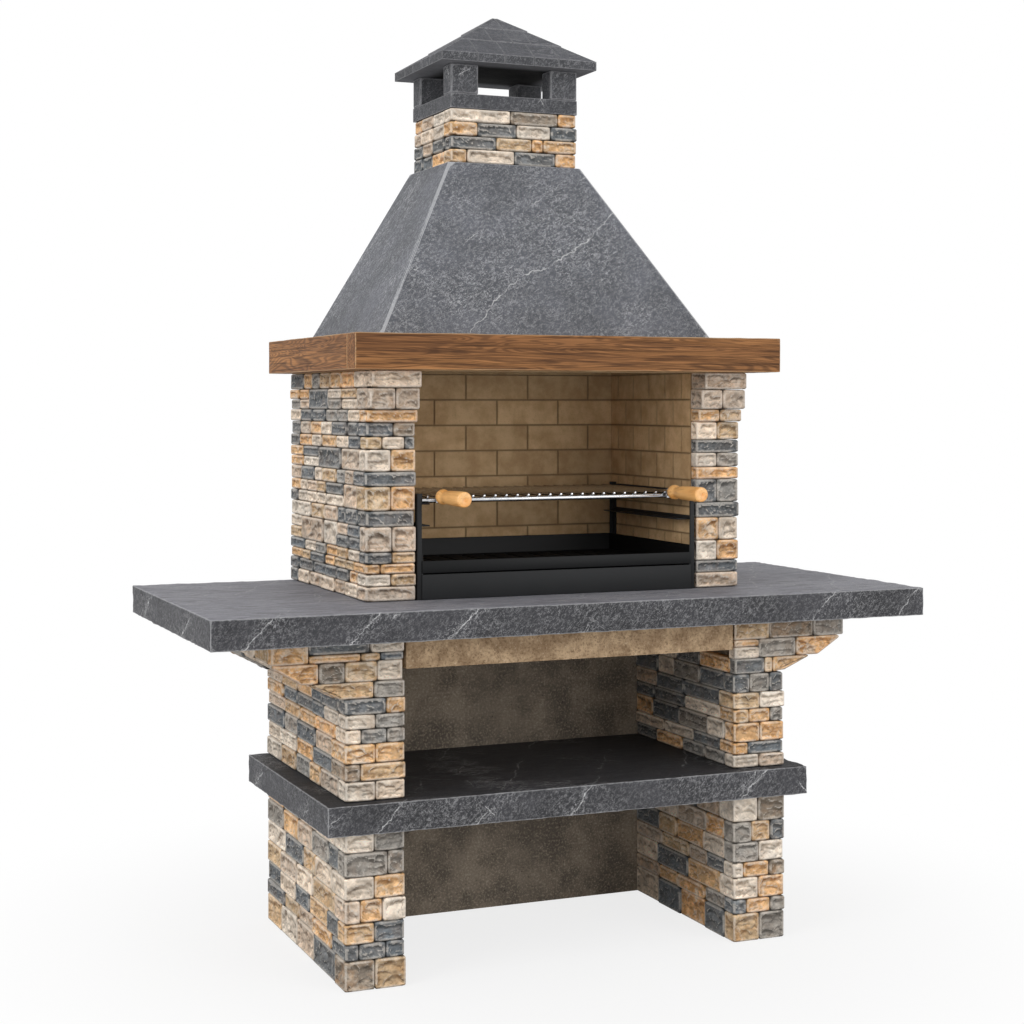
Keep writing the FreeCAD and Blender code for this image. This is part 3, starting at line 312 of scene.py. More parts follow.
def ends_of(piece):
    """The two points of each edge."""
    ends = np.empty(len(piece.data.edges) * 2, int)
    piece.data.edges.foreach_get("vertices", ends)
    return ends.reshape(-1, 2)


def select_edges(piece, chosen):
    """Goes into edit mode with just the chosen edges selected."""
    mesh = piece.data
    mesh.vertices.foreach_set("select", np.zeros(len(mesh.vertices), bool))
    mesh.polygons.foreach_set("select", np.zeros(len(mesh.polygons), bool))
    mesh.edges.foreach_set("select", chosen)
    bpy.ops.object.mode_set(mode="EDIT")
    bpy.ops.mesh.select_mode(type="EDGE")


def note(piece, name, values, kind="FLOAT"):
    """Writes a value for each point of a piece, for its finish to read."""
    layer = piece.data.attributes.get(name) or piece.data.attributes.new(name, kind, "POINT")
    layer.data.foreach_set("color" if kind == "FLOAT_COLOR" else "value", np.ravel(values))


def noted(piece, name):
    values = np.empty(len(piece.data.vertices))
    piece.data.attributes[name].data.foreach_get("value", values)
    return values


def blocks_of(piece):
    """The number of the separate block that each point belongs to."""
    ends = ends_of(piece)
    numbers = np.arange(len(piece.data.vertices))
    while True:
        before = numbers.copy()
        lower = np.minimum(numbers[ends[:, 0]], numbers[ends[:, 1]])
        np.minimum.at(numbers, ends[:, 0], lower)
        np.minimum.at(numbers, ends[:, 1], lower)
        if (before == numbers).all():
            return np.unique(numbers, return_inverse=True)[1]


HALVINGS = 6
SHOWN = 0.6


def divide(piece, cell, where=None):
    """Halves a piece's edges until none is longer than a cell. With the name of a note, only the
    edges between points that it marks."""
    longest = cell * 2 ** HALVINGS
    while longest >= cell:
        spots = points_of(piece)
        ends = ends_of(piece)
        chosen = np.linalg.norm(spots[ends[:, 0]] - spots[ends[:, 1]], axis=1) > longest
        if where:
            chosen &= (noted(piece, where)[ends] > SHOWN).all(1)
        if chosen.any():
            select_edges(piece, chosen)
            bpy.ops.mesh.subdivide(number_cuts=1)
            bpy.ops.object.mode_set(mode="OBJECT")
        longest /= 2


def weigh(piece, name):
    """Makes a vertex group of a noted value, for a modifier to follow."""
    group = piece.vertex_groups.new(name=name)
    for index, value in enumerate(noted(piece, name)):
        group.add((index,), float(value), "REPLACE")


def displace(piece, strength, group, middle=0.5, kind=None, **settings):
    """Moves a piece's surface in or out by a texture, or by a vertex group alone."""
    bpy.ops.object.modifier_add(type="DISPLACE")
    modifier = piece.modifiers[-1]
    modifier.strength = strength
    modifier.mid_level = middle
    modifier.vertex_group = group
    if kind:
        modifier.texture = bpy.data.textures.new(piece.name + "_relief", kind)
        for word, value in settings.items():
            setattr(modifier.texture, word, value)
    bpy.ops.object.modifier_apply(modifier=modifier.name)


def ridges(piece, full):
    """1 on points that stand out from those round them by a full step, -1 in hollows as deep."""
    spots = points_of(piece)
    ends = ends_of(piece)
    normals = np.empty(len(spots) * 3)
    piece.data.vertex_normals.foreach_get("vector", normals)
    total = np.zeros_like(spots)
    count = np.zeros(len(spots))
    for near, far in ((0, 1), (1, 0)):
        np.add.at(total, ends[:, near], spots[ends[:, far]])
        np.add.at(count, ends[:, near], 1)
    lean = spots - total / count[:, None]
    return np.clip((lean * normals.reshape(-1, 3)).sum(1) / full, -1, 1)


def settle(piece, finish, slot, body, *nodes):
    """Keeps a piece inside the box of the CAD part, gives it its finish, and lets it stand for
    CAD nodes on a body."""
    piece.data.vertices.foreach_set("co", np.clip(points_of(piece), *cad_box).ravel())
    piece.data.update()
    piece.data.materials.clear()
    piece.data.materials.append(finish)
    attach(piece, body)
    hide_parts(*nodes)


stone, stone_shader, place = start_finish("cladding_stone")
own = place.attribute("stone", "Color")
rusty = place.attribute("stone", "Alpha")
# worn is above 0 on ridges, which wear pale, and below 0 in the hollows of the relief, which get
# painted shade.
worn = place.attribute("ridge")
mottle = place.noise(46, 5, 0.62)
grit = place.noise(210, 3, 0.65)
rust = place.noise(26, 4, 0.6, 0.8).rise(0.44, 0.62) * rusty
colour = (0.56 + 0.88 * mottle).darken(own)
patch = place.noise(31, 3, 0.6, 0.4).rise(0.44, 0.62)
colour = (0.84 + 0.34 * patch).darken(colour)
colour = (rust * 0.6).blend(colour, tint("#bb8850"))
cream = place.noise(33, 4, 0.6, 0.6).rise(0.5, 0.64) * rusty
colour = (cream * 0.6).blend(colour, tint("#e2d5c4"))
dusk = place.noise(19, 4, 0.6).rise(0.52, 0.72)
colour = (dusk * 0.22).blend(colour, tint("#6b665f"))
# Painted light and shade on the split faces: points facing up are lightened, points facing down
# darkened, and the darkened parts warmed towards the stone's own colour.
painted_facet_light = (1 + 0.95 * place.attribute("lean")).most(0.5).least(1.55)
colour = painted_facet_light.darken(colour)
painted_warm_shade = ((1 - painted_facet_light) * 1.3).most(0.0).least(1.0) * own.axis("X")
colour = painted_warm_shade.blend(colour, own, blend_type="MULTIPLY")
pale = (worn + 0.4 * (grit - 0.5)).rise(0.2, 0.9)
pale = pale * (0.1 + 0.9 * place.attribute("inner").rise(0.0, 0.5))
colour = (pale * 0.6).blend(colour, (0.6 + 0.4 * mottle).darken(tint("#efe7dc")))
# Painted shade: the hollows of the relief are darkened.
colour = (1 - 0.35 * (0 - worn).rise(0.15, 0.9)).darken(colour)
colour = (place.attribute("crest") * grit * 0.7).blend(colour, tint("#e9e1d6"))
# Painted shade along the joints, where the stones meet.
colour = (1 - 0.72 * place.attribute("joint_shade").rise(0.25, 1.0)).darken(colour)
colour = (0.78 + 0.44 * grit).darken(colour)
colour.to(stone_shader, "Base Color")
(0.78 + 0.18 * mottle).to(stone_shader, "Roughness")
stone_shader.inputs["Specular IOR Level"].default_value = 0.3
(mottle * 0.8 + grit * 0.3).bumps(0.005).to(stone_shader, "Normal")

# Lengths in metres, but for the heights and levels of scallops, which are shares of a stone's.
STONE_CELL = 0.0036
RIDGE = 0.0005
CHIP = 0.009
TALL_STONE = 0.055
RIM = 0.0032
WHOLE_RIM = 0.0003
SCALLOP_SPACING = 0.010
SCALLOP_WIDTHS = (0.011, 0.028)
SCALLOP_HEIGHTS = (0.22, 0.45)
SCALLOP_LEVELS = (0.05, 0.6)
SCALLOP_STEEP = 0.28
JOINT_SHADE_REACH = 0.0075
CREST_FROM_JOINT = 0.0085


def chisel(piece, dice):
    """Splits the shown face of each stone back in scallops, most of them below the middle, each
    steep under its upper edge. Notes their depth as a share of the deepest, how far a point is
    inside the arrises, which stay whole, how near to a joint, for the painted shade along the
    joints, and the outer corners."""
    spots = points_of(piece)
    ends = ends_of(piece)
    blocks = np.rint(noted(piece, "block")).astype(int)
    shown = noted(piece, "shown") > SHOWN
    joint = np.zeros(len(spots), bool)
    joint[ends[shown[ends].sum(1) == 1].ravel()] = True
    arris = joint | (ridges(piece, RIDGE) > 0.3)
    inner = np.zeros(len(spots))
    depth = np.zeros(len(spots))
    joint_shade = np.zeros(len(spots))
    crest = np.zeros(len(spots))
    for block in range(blocks.max() + 1):
        mine = np.flatnonzero((blocks == block) & shown)
        face = spots[mine]
        away = np.linalg.norm(face[:, None] - face[None, arris[mine]], axis=2).min(1)
        wave = np.sin(face @ (310, 270, 150)) * np.sin(face @ (-90, 130, 390) + block)
        inside = np.clip((away - WHOLE_RIM) / (RIM * (1.4 + 1.2 * wave)), 0, 1)
        away = np.linalg.norm(face[:, None] - face[None, joint[mine]], axis=2).min(1)
        foot = face[:, 2].min()
        height = face[:, 2].max() - foot
        likely = (inside > 0.5) + 1e-6
        length = len(mine) * (STONE_CELL * 0.75) ** 2 / height
        scallops = 1 + round(length / SCALLOP_SPACING)
        for pick in dice.choices(range(len(mine)), likely, k=scallops):
            wide = dice.uniform(*SCALLOP_WIDTHS)
            tall = dice.uniform(*SCALLOP_HEIGHTS) * height
            middle = foot + dice.uniform(*SCALLOP_LEVELS) * height
            aside = np.linalg.norm((face - face[pick])[:, :2], axis=1) / wide
            chord = np.sqrt(np.clip(1 - aside ** 2, 1e-9, 1))
            drop = (middle + tall * chord - face[:, 2]) / (2 * tall * chord)
            shape = np.clip(drop / SCALLOP_STEEP, 0, 1) * np.clip(1 - drop, 0, 1) * np.sqrt(chord)
            deep = CHIP * dice.uniform(0.4, 1) * min(1, height / TALL_STONE)
            depth[mine] = np.maximum(depth[mine], deep * shape * inside)
        inner[mine] = inside
        joint_shade[mine] = 1 - np.clip(away / JOINT_SHADE_REACH, 0, 1)
        crest[mine] = arris[mine] & (away > CREST_FROM_JOINT)
    note(piece, "chips", np.clip(depth / CHIP, 0, 1))
    note(piece, "inner", inner)
    note(piece, "joint_shade", joint_shade)
    note(piece, "crest", crest)


LET_OUT = {"face": 0.0026, "bed": 0.0014}
SET_BACK = 0.0035
SAME_FACE = 0.0035


def bed(piece, blocks, shown, dice):
    """Lets each stone out into its joints, so that they close to thin lines, and sets its shown
    faces a little further back or forward than its neighbours'."""
    spots = points_of(piece)
    push = np.zeros_like(spots)
    back = [dice.uniform(-SET_BACK, SET_BACK / 4) for _ in range(blocks.max() + 1)]
    for side in piece.data.polygons:
        corners = list(side.vertices)
        block = blocks[corners[0]]
        if shown[corners].any():
            step = np.where(shown > SHOWN, LET_OUT["face"], LET_OUT["bed"])
            if shown[corners].all():
                step = np.full(len(spots), back[block])
            way = np.array(side.normal)
            level = (spots - spots[corners[0]]) @ way
            near = (blocks == block) & (abs(level) < SAME_FACE) & (abs(push @ way) < abs(step) / 2)
            push[near] += step[near, None] * way
    piece.data.vertices.foreach_set("co", (spots + push).ravel())


AT_CORE = 0.004
FACE_DEPTH = 0.004
FRONT_DEPTH = 0.012
COURSE_STEP = 0.014


def shown_points(piece, core):
    """1 for each point of a piece that is clear of its core, 0 for one that lies on it."""
    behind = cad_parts[core]
    shown = []
    for spot in points_of(piece):
        touched = behind.closest_point_on_mesh(spot)[1]
        shown.append(float((touched - Vector(spot)).length > AT_CORE))
    return np.array(shown)


def kinds_of(piece, blocks, shown, rows, front, dice):
    """The kind of each stone. The rows, from the bottom up, name those at the front from left to
    right; the others are mixed."""
    spots = points_of(piece)
    kinds = [dice.choice(MIXED) for _ in range(blocks.max() + 1)]
    in_front = []
    for block in range(len(kinds)):
        mine = spots[(blocks == block) & (shown > SHOWN)]
        face = mine[mine[:, 1] < mine[:, 1].min() + FACE_DEPTH]
        if face[:, 1].mean() < front + FRONT_DEPTH:
            in_front.append((face[:, 2].mean(), face[:, 0].mean(), block))
    courses = []
    for level, across, block in sorted(in_front):
        if not courses or level - courses[-1][0] > COURSE_STEP:
            courses.append((level, []))
        courses[-1][1].append((across, block))
    for (level, row), letters in zip(courses, rows):
        for (across, block), letter in zip(sorted(row), letters):
            kinds[block] = letter
    return kinds


def colours_of(kinds, dice):
    """A colour for each stone, near that of its kind, and as its alpha the share of rust."""
    colours = []
    for kind in kinds:
        code, share = KINDS[kind]
        light = dice.uniform(0.86, 1.12)
        warm = dice.uniform(0.96, 1.04)
        red, green, blue, _ = tint(code)
        colours.append((red * light * warm, green * light, blue * light / warm,
                        share * dice.uniform(0.5, 1.3)))
    return np.array(colours)


STONE_ROUND = 0.0036


def rock_face(node, core, rows, front, seed):
    """Beds a node's stones, splits their faces and gives each stone the colour of its kind."""
    dice = random.Random(seed)
    piece = copy_of(node, node + "_rock")
    blocks = blocks_of(piece)
    shown = shown_points(piece, core)
    kinds = kinds_of(piece, blocks, shown, rows, front, dice)
    note(piece, "stone", colours_of(kinds, dice)[blocks], "FLOAT_COLOR")
    note(piece, "shown", shown)
    note(piece, "block", blocks)
    bed(piece, blocks, shown, dice)
    select_edges(piece, (shown[ends_of(piece)] > SHOWN).any(1))
    bpy.ops.mesh.bevel(offset=STONE_ROUND, segments=2, clamp_overlap=False)
    bpy.ops.mesh.select_mode(type="FACE")
    bpy.ops.mesh.select_all(action="DESELECT")
    bpy.ops.mesh.select_face_by_sides(number=4, type="GREATER")
    bpy.ops.mesh.quads_convert_to_tris(ngon_method="BEAUTY")
    bpy.ops.object.mode_set(mode="OBJECT")
    divide(piece, STONE_CELL, "shown")
    chisel(piece, dice)
    rounded = ridges(piece, RIDGE)
    for group in ("inner", "chips"):
        weigh(piece, group)
    take(piece)
    displace(piece, -CHIP, "chips", 0.0)
    displace(piece, 0.005, "inner", 0.5, "CLOUDS", noise_scale=0.026, noise_depth=1)
    displace(piece, 0.002, "inner", 0.5, "CLOUDS", noise_scale=0.009, noise_depth=1)
    bpy.ops.object.shade_smooth()
    piece.vertex_groups.clear()
    note(piece, "ridge", ridges(piece, RIDGE) - 0.5 * rounded)
    # How far each shown point faces up, read by the finish for its painted light and shade.
    normals = np.empty(len(piece.data.vertices) * 3)
    piece.data.vertex_normals.foreach_get("vector", normals)
    note(piece, "lean", normals[2::3] * (noted(piece, "shown") > SHOWN))
    settle(piece, stone, "cladding_stone", "masonry", node)


LOWER_ROWS = {
    "left": ("NT", "DDD", "TD", "BOC", "CO", "GG", "CG"),
    "right": ("TG", "DOG", "CO", "CON", "GC", "GTD", "CN"),
}
for side in SIDES:
    leg = f"{side}_lower_leg"
    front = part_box(f"{leg}_stones")[0].y
    rock_face(f"{leg}_stones", f"{leg}_core", LOWER_ROWS[side], front, leg)

# Shelf: one slab of dark slate, riven, with paler chipped arrises and thin white veins.
# It lies across the lower legs and the rear wall, in mortar.
WORN_REACH = 0.02
ARRIS_REACH = 0.009


def worn_edges(piece, lines):
    """Notes how near each point is to some lines: "worn" in metres, from 0 at its reach to the
    full reach on a line, and "arris" from 0 to 1."""
    spots = points_of(piece)
    nearest = np.full(len(spots), 1.0)
    for start, end in lines:
        run = end - start
        share = np.clip((spots - start) @ run / (run @ run), 0, 1)
        distance = np.linalg.norm(spots - start - share[:, None] * run, axis=1)
        nearest = np.minimum(nearest, distance)
    note(piece, "worn", np.clip(WORN_REACH - nearest, 0, 1))
    note(piece, "arris", np.clip(1 - nearest / ARRIS_REACH, 0, 1))


def sharp_lines(piece, angle=35):
    """The outward edges of a piece where its faces meet at more than an angle."""
    spots = points_of(piece)
    sides = {}
    for face in piece.data.polygons:
        for key in face.edge_keys:
            sides.setdefault(key, []).append(face)
    lines = []
    for (first, second), faces in sides.items():
        if len(faces) == 2:
            one, two = faces
            outward = (two.center - one.center).dot(one.normal) < 0
            if outward and one.normal.angle(two.normal, 0) > math.radians(angle):
                lines.append((spots[first], spots[second]))
    return lines


def drawn_out(place, direction, length, width):
    """A place measured along a direction and across it, in steps of a length and a width."""
    direction = Vector(direction).normalized()
    side = direction.orthogonal().normalized()
    return place.node("ShaderNodeCombineXYZ", {
        0: place.along(direction) / length,
        1: place.along(side) / width,
        2: place.along(side.cross(direction)) / width,
    })


def strokes(place, scale, shift, full):
    """Thin curved pale lines, broken up, that are full this near to the middle of the noise."""
    spot = place.stretched((scale, scale, scale), shift)
    curl = spot.noise(1, 2.5, 0.55, 0.9)
    return (1 - abs(curl - 0.5).rise(full * 0.4, full)) * spot.noise(0.8, 2).rise(0.46, 0.58)


def slate(name, dark, mid, top, pale, threads, veins, arris, grain_way=(1, 0, 1),
          streaks=(1, 0, 0), crack=()):
    """Slate: clouded dark grey with short pale threads that lie mostly one way, white veins and
    paler arrises. Each family of veins has a direction, a start, a spacing, a width and the noise
    below which it is broken; the arrises have a reach and a share. Streaks run in a direction on
    the upper side; one long crack may be given by its points. The upper side is also blended to a
    tone of its own: a lighter one is painted light from above, a darker one painted shade."""
    material, shader, place = start_finish(name)
    cloud = place.noise(6.5, 6, 0.6)
    grain = place.noise(150, 4, 0.62, 1.0)
    facing = place.node("ShaderNodeNewGeometry", out="True Normal").axis("Z").rise(0.6, 0.95)
    colour = cloud.rise(0.32, 0.68).blend(tint(dark), tint(mid))
    # Painted light and shade: the upper side takes its own tone, light on the worktop, dark on the
    # shelf under it.
    colour = (facing * 0.9).blend(colour, tint(top))
    colour = (0.48 + 1.04 * grain).darken(colour)
    patch = place.noise(5, 4, 0.62).rise(0.38, 0.64)
    spun = drawn_out(place, grain_way, 0.016, 0.0062)
    thread = strokes(spun, 1.0, (0, 0, 0), 0.027)
    thread = thread.most(strokes(spun, 1.7, (3.1, 7.7, 1.3), 0.036))
    thread = thread.most(strokes(place, 120, (8.2, 2.9, 5.6), 0.04)) * (0.45 + 0.55 * patch)
    colour = (thread * threads * (1 - 0.8 * facing)).blend(colour, tint(pale))
    drawn = drawn_out(place, streaks, 0.11, 0.03).noise(1, 6, 0.7, 1.6)
    colour = (1 + (drawn - 0.5) * facing * 1.9).darken(colour)
    scratch = (1 - abs(drawn - 0.5).rise(0.003, 0.016)) * place.noise(4, 3).rise(0.5, 0.58)
    colour = (scratch * facing * 0.7).blend(colour, tint(pale))
    wander = place.noise(7, 4, 0.6) * 0.05 + place.noise(46, 4, 0.65) * 0.018
    lines = 0.0
    for direction, start, spacing, width, low in veins:
        run = (place.along(direction) + wander - start) / spacing + 0.5
        near = abs(run.fraction() - 0.5) * spacing
        gaps = place.noise(3.1 + 9 * spacing, 3, 0.6).rise(low, low + 0.08)
        broken = 0.4 + 0.6 * place.noise(55, 3, 0.6).rise(0.42, 0.58)
        lines = (1 - near.rise(width * 0.2, width * 0.75)) * gaps * broken + lines
        bunch = 1 - near.rise(0.006, 0.022)
        lines = thread * bunch * gaps * (0.35 - 0.3 * facing) + lines
    if crack:
        first, last = crack[0], crack[-1]
        share = (place.axis("X") - first[0]) / (last[0] - first[0])
        stops = [((x - first[0]) / (last[0] - first[0]), (z - first[1]) / (last[1] - first[1]))
                 for x, z in crack]
        path = share.node("ShaderNodeValToRGB", {0: share}, stops=stops)
        level = path * (last[1] - first[1]) + first[1] + wander * 0.35 - 0.009
        level = level + (place.noise(34, 3, 0.6) - 0.5) * 0.03
        broken = 0.35 + 0.65 * place.noise(24, 3, 0.6).rise(0.4, 0.55)
        broken = broken * share.rise(0.0, 0.01) * (1 - share.rise(0.99, 1.0))
        lines = (1 - abs(place.axis("Z") - level).rise(0.0004, 0.0023)) * broken + lines
    colour = (lines * (0.85 - 0.5 * facing)).least(1.0).blend(colour, tint("#d4d4d5"))
    reach, share = arris
    edge = place.attribute("worn") + reach * 1.6 * (place.noise(110, 4, 0.7) - 0.5)
    edge = edge.rise(WORN_REACH - reach, WORN_REACH - reach / 4) * share
    colour = edge.blend(colour, tint(pale))
    colour.to(shader, "Base Color")
    (0.5 + 0.24 * grain + 0.1 * cloud).to(shader, "Roughness")
    shader.inputs["Specular IOR Level"].default_value = 0.3
    ripple = place.noise(30, 5, 0.6)
    (ripple * 0.45 + grain * 0.3 + thread * 0.15 * threads).bumps(0.0025).to(shader, "Normal")
    return material


SLAB_VEINS = (
    ((0.66, -0.38, -0.65), 0.06, 0.155, 0.0019, 0.45),
    ((0.52, 0.62, -0.58), 0.11, 0.27, 0.0016, 0.5),
    ((0.75, -0.2, 0.63), 0.17, 0.61, 0.0018, 0.52),
)
SLAB_ARRIS = (0.0042, 0.6)
# The shelf's upper side is kept dark: painted shade under the worktop.
shelf_slate_painted_shade = slate(
    "shelf_slate_painted_shade", "#333336", "#434347", "#333336", "#b4b4b6", 0.5, SLAB_VEINS, SLAB_ARRIS,
)


def cuboid(middle, sizes):
    """A plain block round a middle point."""
    bpy.ops.object.select_all(action="DESELECT")
    bpy.ops.mesh.primitive_cube_add(size=1, location=middle, scale=sizes)
    bpy.ops.object.transform_apply(location=True, rotation=True, scale=True)
    return bpy.context.object


def ease(piece, width, segments):
    """Rounds all edges of a piece."""
    select_edges(piece, np.ones(len(piece.data.edges), bool))
    bpy.ops.mesh.bevel(offset=width, segments=segments, clamp_overlap=False)
    bpy.ops.object.mode_set(mode="OBJECT")


def sawn(node, name, rounding, segments, cell):
    """A block cut to a node's box, with rounded edges, ready for its relief."""
    low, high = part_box(node)
    piece = cuboid((low + high) / 2, high - low)
    piece.name = name
    lines = sharp_lines(piece)
    ease(piece, rounding, segments)
    divide(piece, cell)
    worn_edges(piece, lines)
    note(piece, "shown", np.ones(len(piece.data.vertices)))
    for group in ("arris", "shown"):
        weigh(piece, group)
    take(piece)
    return piece


SLAB_ROUND = 0.0025
SLAB_CELL = 0.014


def riven_slab(node, finish):
    """A slab of slate with broken arrises and faintly uneven faces."""
    piece = sawn(node, node + "_riven", SLAB_ROUND, 2, SLAB_CELL)
    displace(piece, 0.0022, "arris", 1.0, "CLOUDS", noise_scale=0.022, noise_depth=2, contrast=2.2)
    displace(piece, 0.001, "shown", 1.0, "CLOUDS", noise_scale=0.12, noise_depth=2)
    bpy.ops.object.shade_smooth_by_angle(angle=math.radians(50))
    piece.vertex_groups.clear()
    settle(piece, finish, "slab_slate", "masonry", node)


riven_slab("shelf_slab", shelf_slate_painted_shade)

# Upper legs: cores that step out under the worktop, their stones, the three corbel courses, and
# the rear wall of the upper niche, all of the same concrete and stone as below the shelf.
dress(concrete, "left_upper_leg_core", "right_upper_leg_core", "upper_rear_wall")
UPPER_ROWS = {
    "left": ("CC", "NT", "OO", "CGG", "CG", "DO"),
    "right": ("CB", "OD", "OO", "TOG", "TC", "DGD"),
}
CORBEL_ROWS = {
    "left": ("TG", "ONTC", "OTD", "ODC"),
    "right": ("DTO", "CGO", "O", "TNG"),
}
for side in SIDES:
    leg = f"{side}_upper_leg"
    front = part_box(f"{leg}_stones")[0].y
    rock_face(f"{leg}_stones", f"{leg}_core", UPPER_ROWS[side], front, leg)
    rock_face(f"{side}_corbel_stones", f"{leg}_core", CORBEL_ROWS[side], front, side + "_corbel")

# Hearth slab: beige cast stone with coarse sand and brown grains, set between the upper legs
# under the worktop. Only its front edge and its underside show.
hearth, hearth_shader, place = start_finish("hearth_stone")
blotch = place.noise(26, 5, 0.65)
grains = place.noise(190, 3, 0.7)
colour = blotch.rise(0.32, 0.7).blend(tint("#957a5c"), tint("#cbae8b"))
colour = (grains.rise(0.5, 0.66) * 0.7).blend(colour, tint("#6f573e"))
colour = ((1 - grains).rise(0.58, 0.74) * 0.5).blend(colour, tint("#e0cdb2"))
colour.to(hearth_shader, "Base Color")
(0.8 + 0.15 * grains).to(hearth_shader, "Roughness")
(grains * 0.6 + blotch * 0.5).bumps(0.002).to(hearth_shader, "Normal")
dress(hearth, "hearth_slab")

# Worktop: a second, larger slab of the same slate, across the upper legs and the hearth slab.
# It reaches far out at both ends and carries the firebox.
# Its upper side takes a much lighter tone than the shelf's: painted light from above.
worktop_slate_painted_light = slate(
    "worktop_slate_painted_light", "#313134", "#414145", "#86868d", "#b4b4b6", 0.5, SLAB_VEINS, SLAB_ARRIS,
)
riven_slab("worktop_slab", worktop_slate_painted_light)

# Firebox piers and rear wall: concrete on the worktop. The piers have stone outside and at the
# front, where the top three courses step forward under the mantel.
dress(concrete, "left_pier_core", "right_pier_core", "firebox_rear_wall")
PIER_ROWS = {
    "left": ("B", "CT", "OO", "DT", "BB", "D", "TO", "D", "CO", "TCD", "DN", "O", "BB", "C"),
    "right": ("B", "D", "CO", "OC", "D", "DG", "O", "CG", "D", "CT", "OT", "BB", "B"),
}
PIER_STONE = 0.027
for side in SIDES:
    pier = f"{side}_pier"
    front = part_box(f"{pier}_core")[0].y - PIER_STONE
    rock_face(f"{pier}_stones", f"{pier}_core", PIER_ROWS[side], front, pier)

# Firebrick lining: tan fired bricks in stretcher bond on the piers' inner sides and on the rear
# wall, darker at their arrises, with brown mortar in the joints a little behind their faces.
firebrick, firebrick_shader, place = start_finish("firebrick")
brick_tone = place.attribute("tone")
blotch = place.noise(21, 5, 0.62)
grit = place.noise(260, 3, 0.7)
colour = blotch.rise(0.3, 0.7).blend(tint("#bf9c72"), tint("#dbba8e"))
colour = (0.86 + 0.26 * brick_tone).darken(colour)
colour = (grit.rise(0.56, 0.72) * 0.5).blend(colour, tint("#9a7c58"))
colour = (1 - 0.25 * place.attribute("worn").rise(0.017, 0.02)).darken(colour)
# Painted shade: darker towards the top of the firebox, under the mantel and the hood.
colour = (1 - 0.46 * place.axis("Z").rise(1.3, 1.6)).darken(colour)
mortar_colour = (0.7 + 0.6 * grit).darken(tint("#8d7453"))
colour = (0 - brick_tone).rise(0.3, 0.7).blend(colour, mortar_colour)
colour.to(firebrick_shader, "Base Color")
(0.8 + 0.15 * grit).to(firebrick_shader, "Roughness")
(grit * 0.5 + blotch * 0.4).bumps(0.0016).to(firebrick_shader, "Normal")
POINTING = 0.0022
MARGIN = 0.0045
LININGS = {
    "left_firebricks": Vector((1, 0, 0)),
    "right_firebricks": Vector((-1, 0, 0)),
    "rear_firebricks": Vector((0, -1, 0)),
}


def outline_faces(piece):
    """Sets a narrow margin off round each face of a piece, for its finish to wear."""
    take(piece)
    bpy.ops.object.mode_set(mode="EDIT")
    bpy.ops.mesh.select_all(action="SELECT")
    bpy.ops.mesh.inset(thickness=MARGIN, use_individual=True)
    bpy.ops.object.mode_set(mode="OBJECT")


for node, outward in LININGS.items():
    dice = random.Random(node)
    lining = copy_of(node, node + "_fired")
    lines = sharp_lines(lining)
    bricks = blocks_of(lining)
    tones = np.array([dice.random() for _ in range(bricks.max() + 1)])
    note(lining, "tone", tones[bricks])
    outline_faces(lining)
    worn_edges(lining, lines)
    bpy.ops.object.shade_smooth_by_angle(angle=math.radians(30))
    low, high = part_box(node)
    thinner = Vector((abs(outward.x), abs(outward.y), 0)) * POINTING
    mortar = cuboid((low + high) / 2 - outward * POINTING / 2, high - low - thinner)
    note(mortar, "tone", np.full(len(mortar.data.vertices), -1.0))
    take(lining)
    mortar.select_set(True)
    bpy.ops.object.join()
    settle(lining, firebrick, "firebrick", "masonry", node)

# Hood frame: a ring cast of fireclay concrete, as brown as the bricks, on the piers. It carries
# the hood, and the mantel hides it in front and at the sides.
dress(firebrick, "hood_support_frame")

# Mantel: three solid oak beams, oiled brown. The two side beams butt against the back of the
# front one, and all three lie against the concrete ring.


def oak(name, lengthwise, shift):
    """Oiled oak with its grain along one axis: dark growth lines, pores and paler arrises, partly
    wear and partly a painted highlight along the edges.
    """
    material, shader, place = start_finish(name)
    long = (1.5, 15, 19) if lengthwise == "X" else (15, 1.5, 19)
    fine = (5, 230, 230) if lengthwise == "X" else (230, 5, 230)
    rings = place.stretched(long, shift).noise(1, 2, 0.5, 1.1)
    lines = (rings * 140).sine() * 0.5 + 0.5
    pores = place.stretched(fine).noise(1, 4, 0.65)
    broad = place.stretched(long).noise(0.6, 4, 0.6)
    colour = broad.rise(0.3, 0.7).blend(tint("#835733"), tint("#b37d4b"))
    colour = (lines.rise(0.2, 1.0) * 0.58).blend(colour, tint("#4c2e17"))
    colour = (pores.rise(0.45, 0.62) * 0.68).blend(colour, tint("#38200f"))
    # Paler arrises: partly wear, partly a painted highlight along the beams' edges.
    edge = place.attribute("worn") + 0.006 * (pores - 0.5)
    colour = (edge.rise(0.0165, 0.0196) * 0.7).blend(colour, tint("#d9b48a"))
    colour.to(shader, "Base Color")
    (0.5 + 0.25 * pores).to(shader, "Roughness")
    shader.inputs["Specular IOR Level"].default_value = 0.25
    (lines * -0.25 - pores * 0.5).bumps(0.0016).to(shader, "Normal")
    return material


BEAMS = (
    ("mantel_front_beam", "X", (0.0, 0.0, 0.0)),
    ("mantel_left_return", "Y", (3.0, 1.0, 0.0)),
    ("mantel_right_return", "Y", (7.0, 4.0, 0.0)),
)
BEAM_ROUND = 0.003
BEAM_CELL = 0.012
for node, lengthwise, shift in BEAMS:
    beam = sawn(node, node + "_oak", BEAM_ROUND, 3, BEAM_CELL)
    displace(beam, 0.0016, "shown", 1.0, "CLOUDS", noise_scale=0.05, noise_depth=1)
    bpy.ops.object.shade_smooth_by_angle(angle=math.radians(50))
    beam.vertex_groups.clear()
    settle(beam, oak(node + "_oak", lengthwise, shift), "oak", "masonry", node)

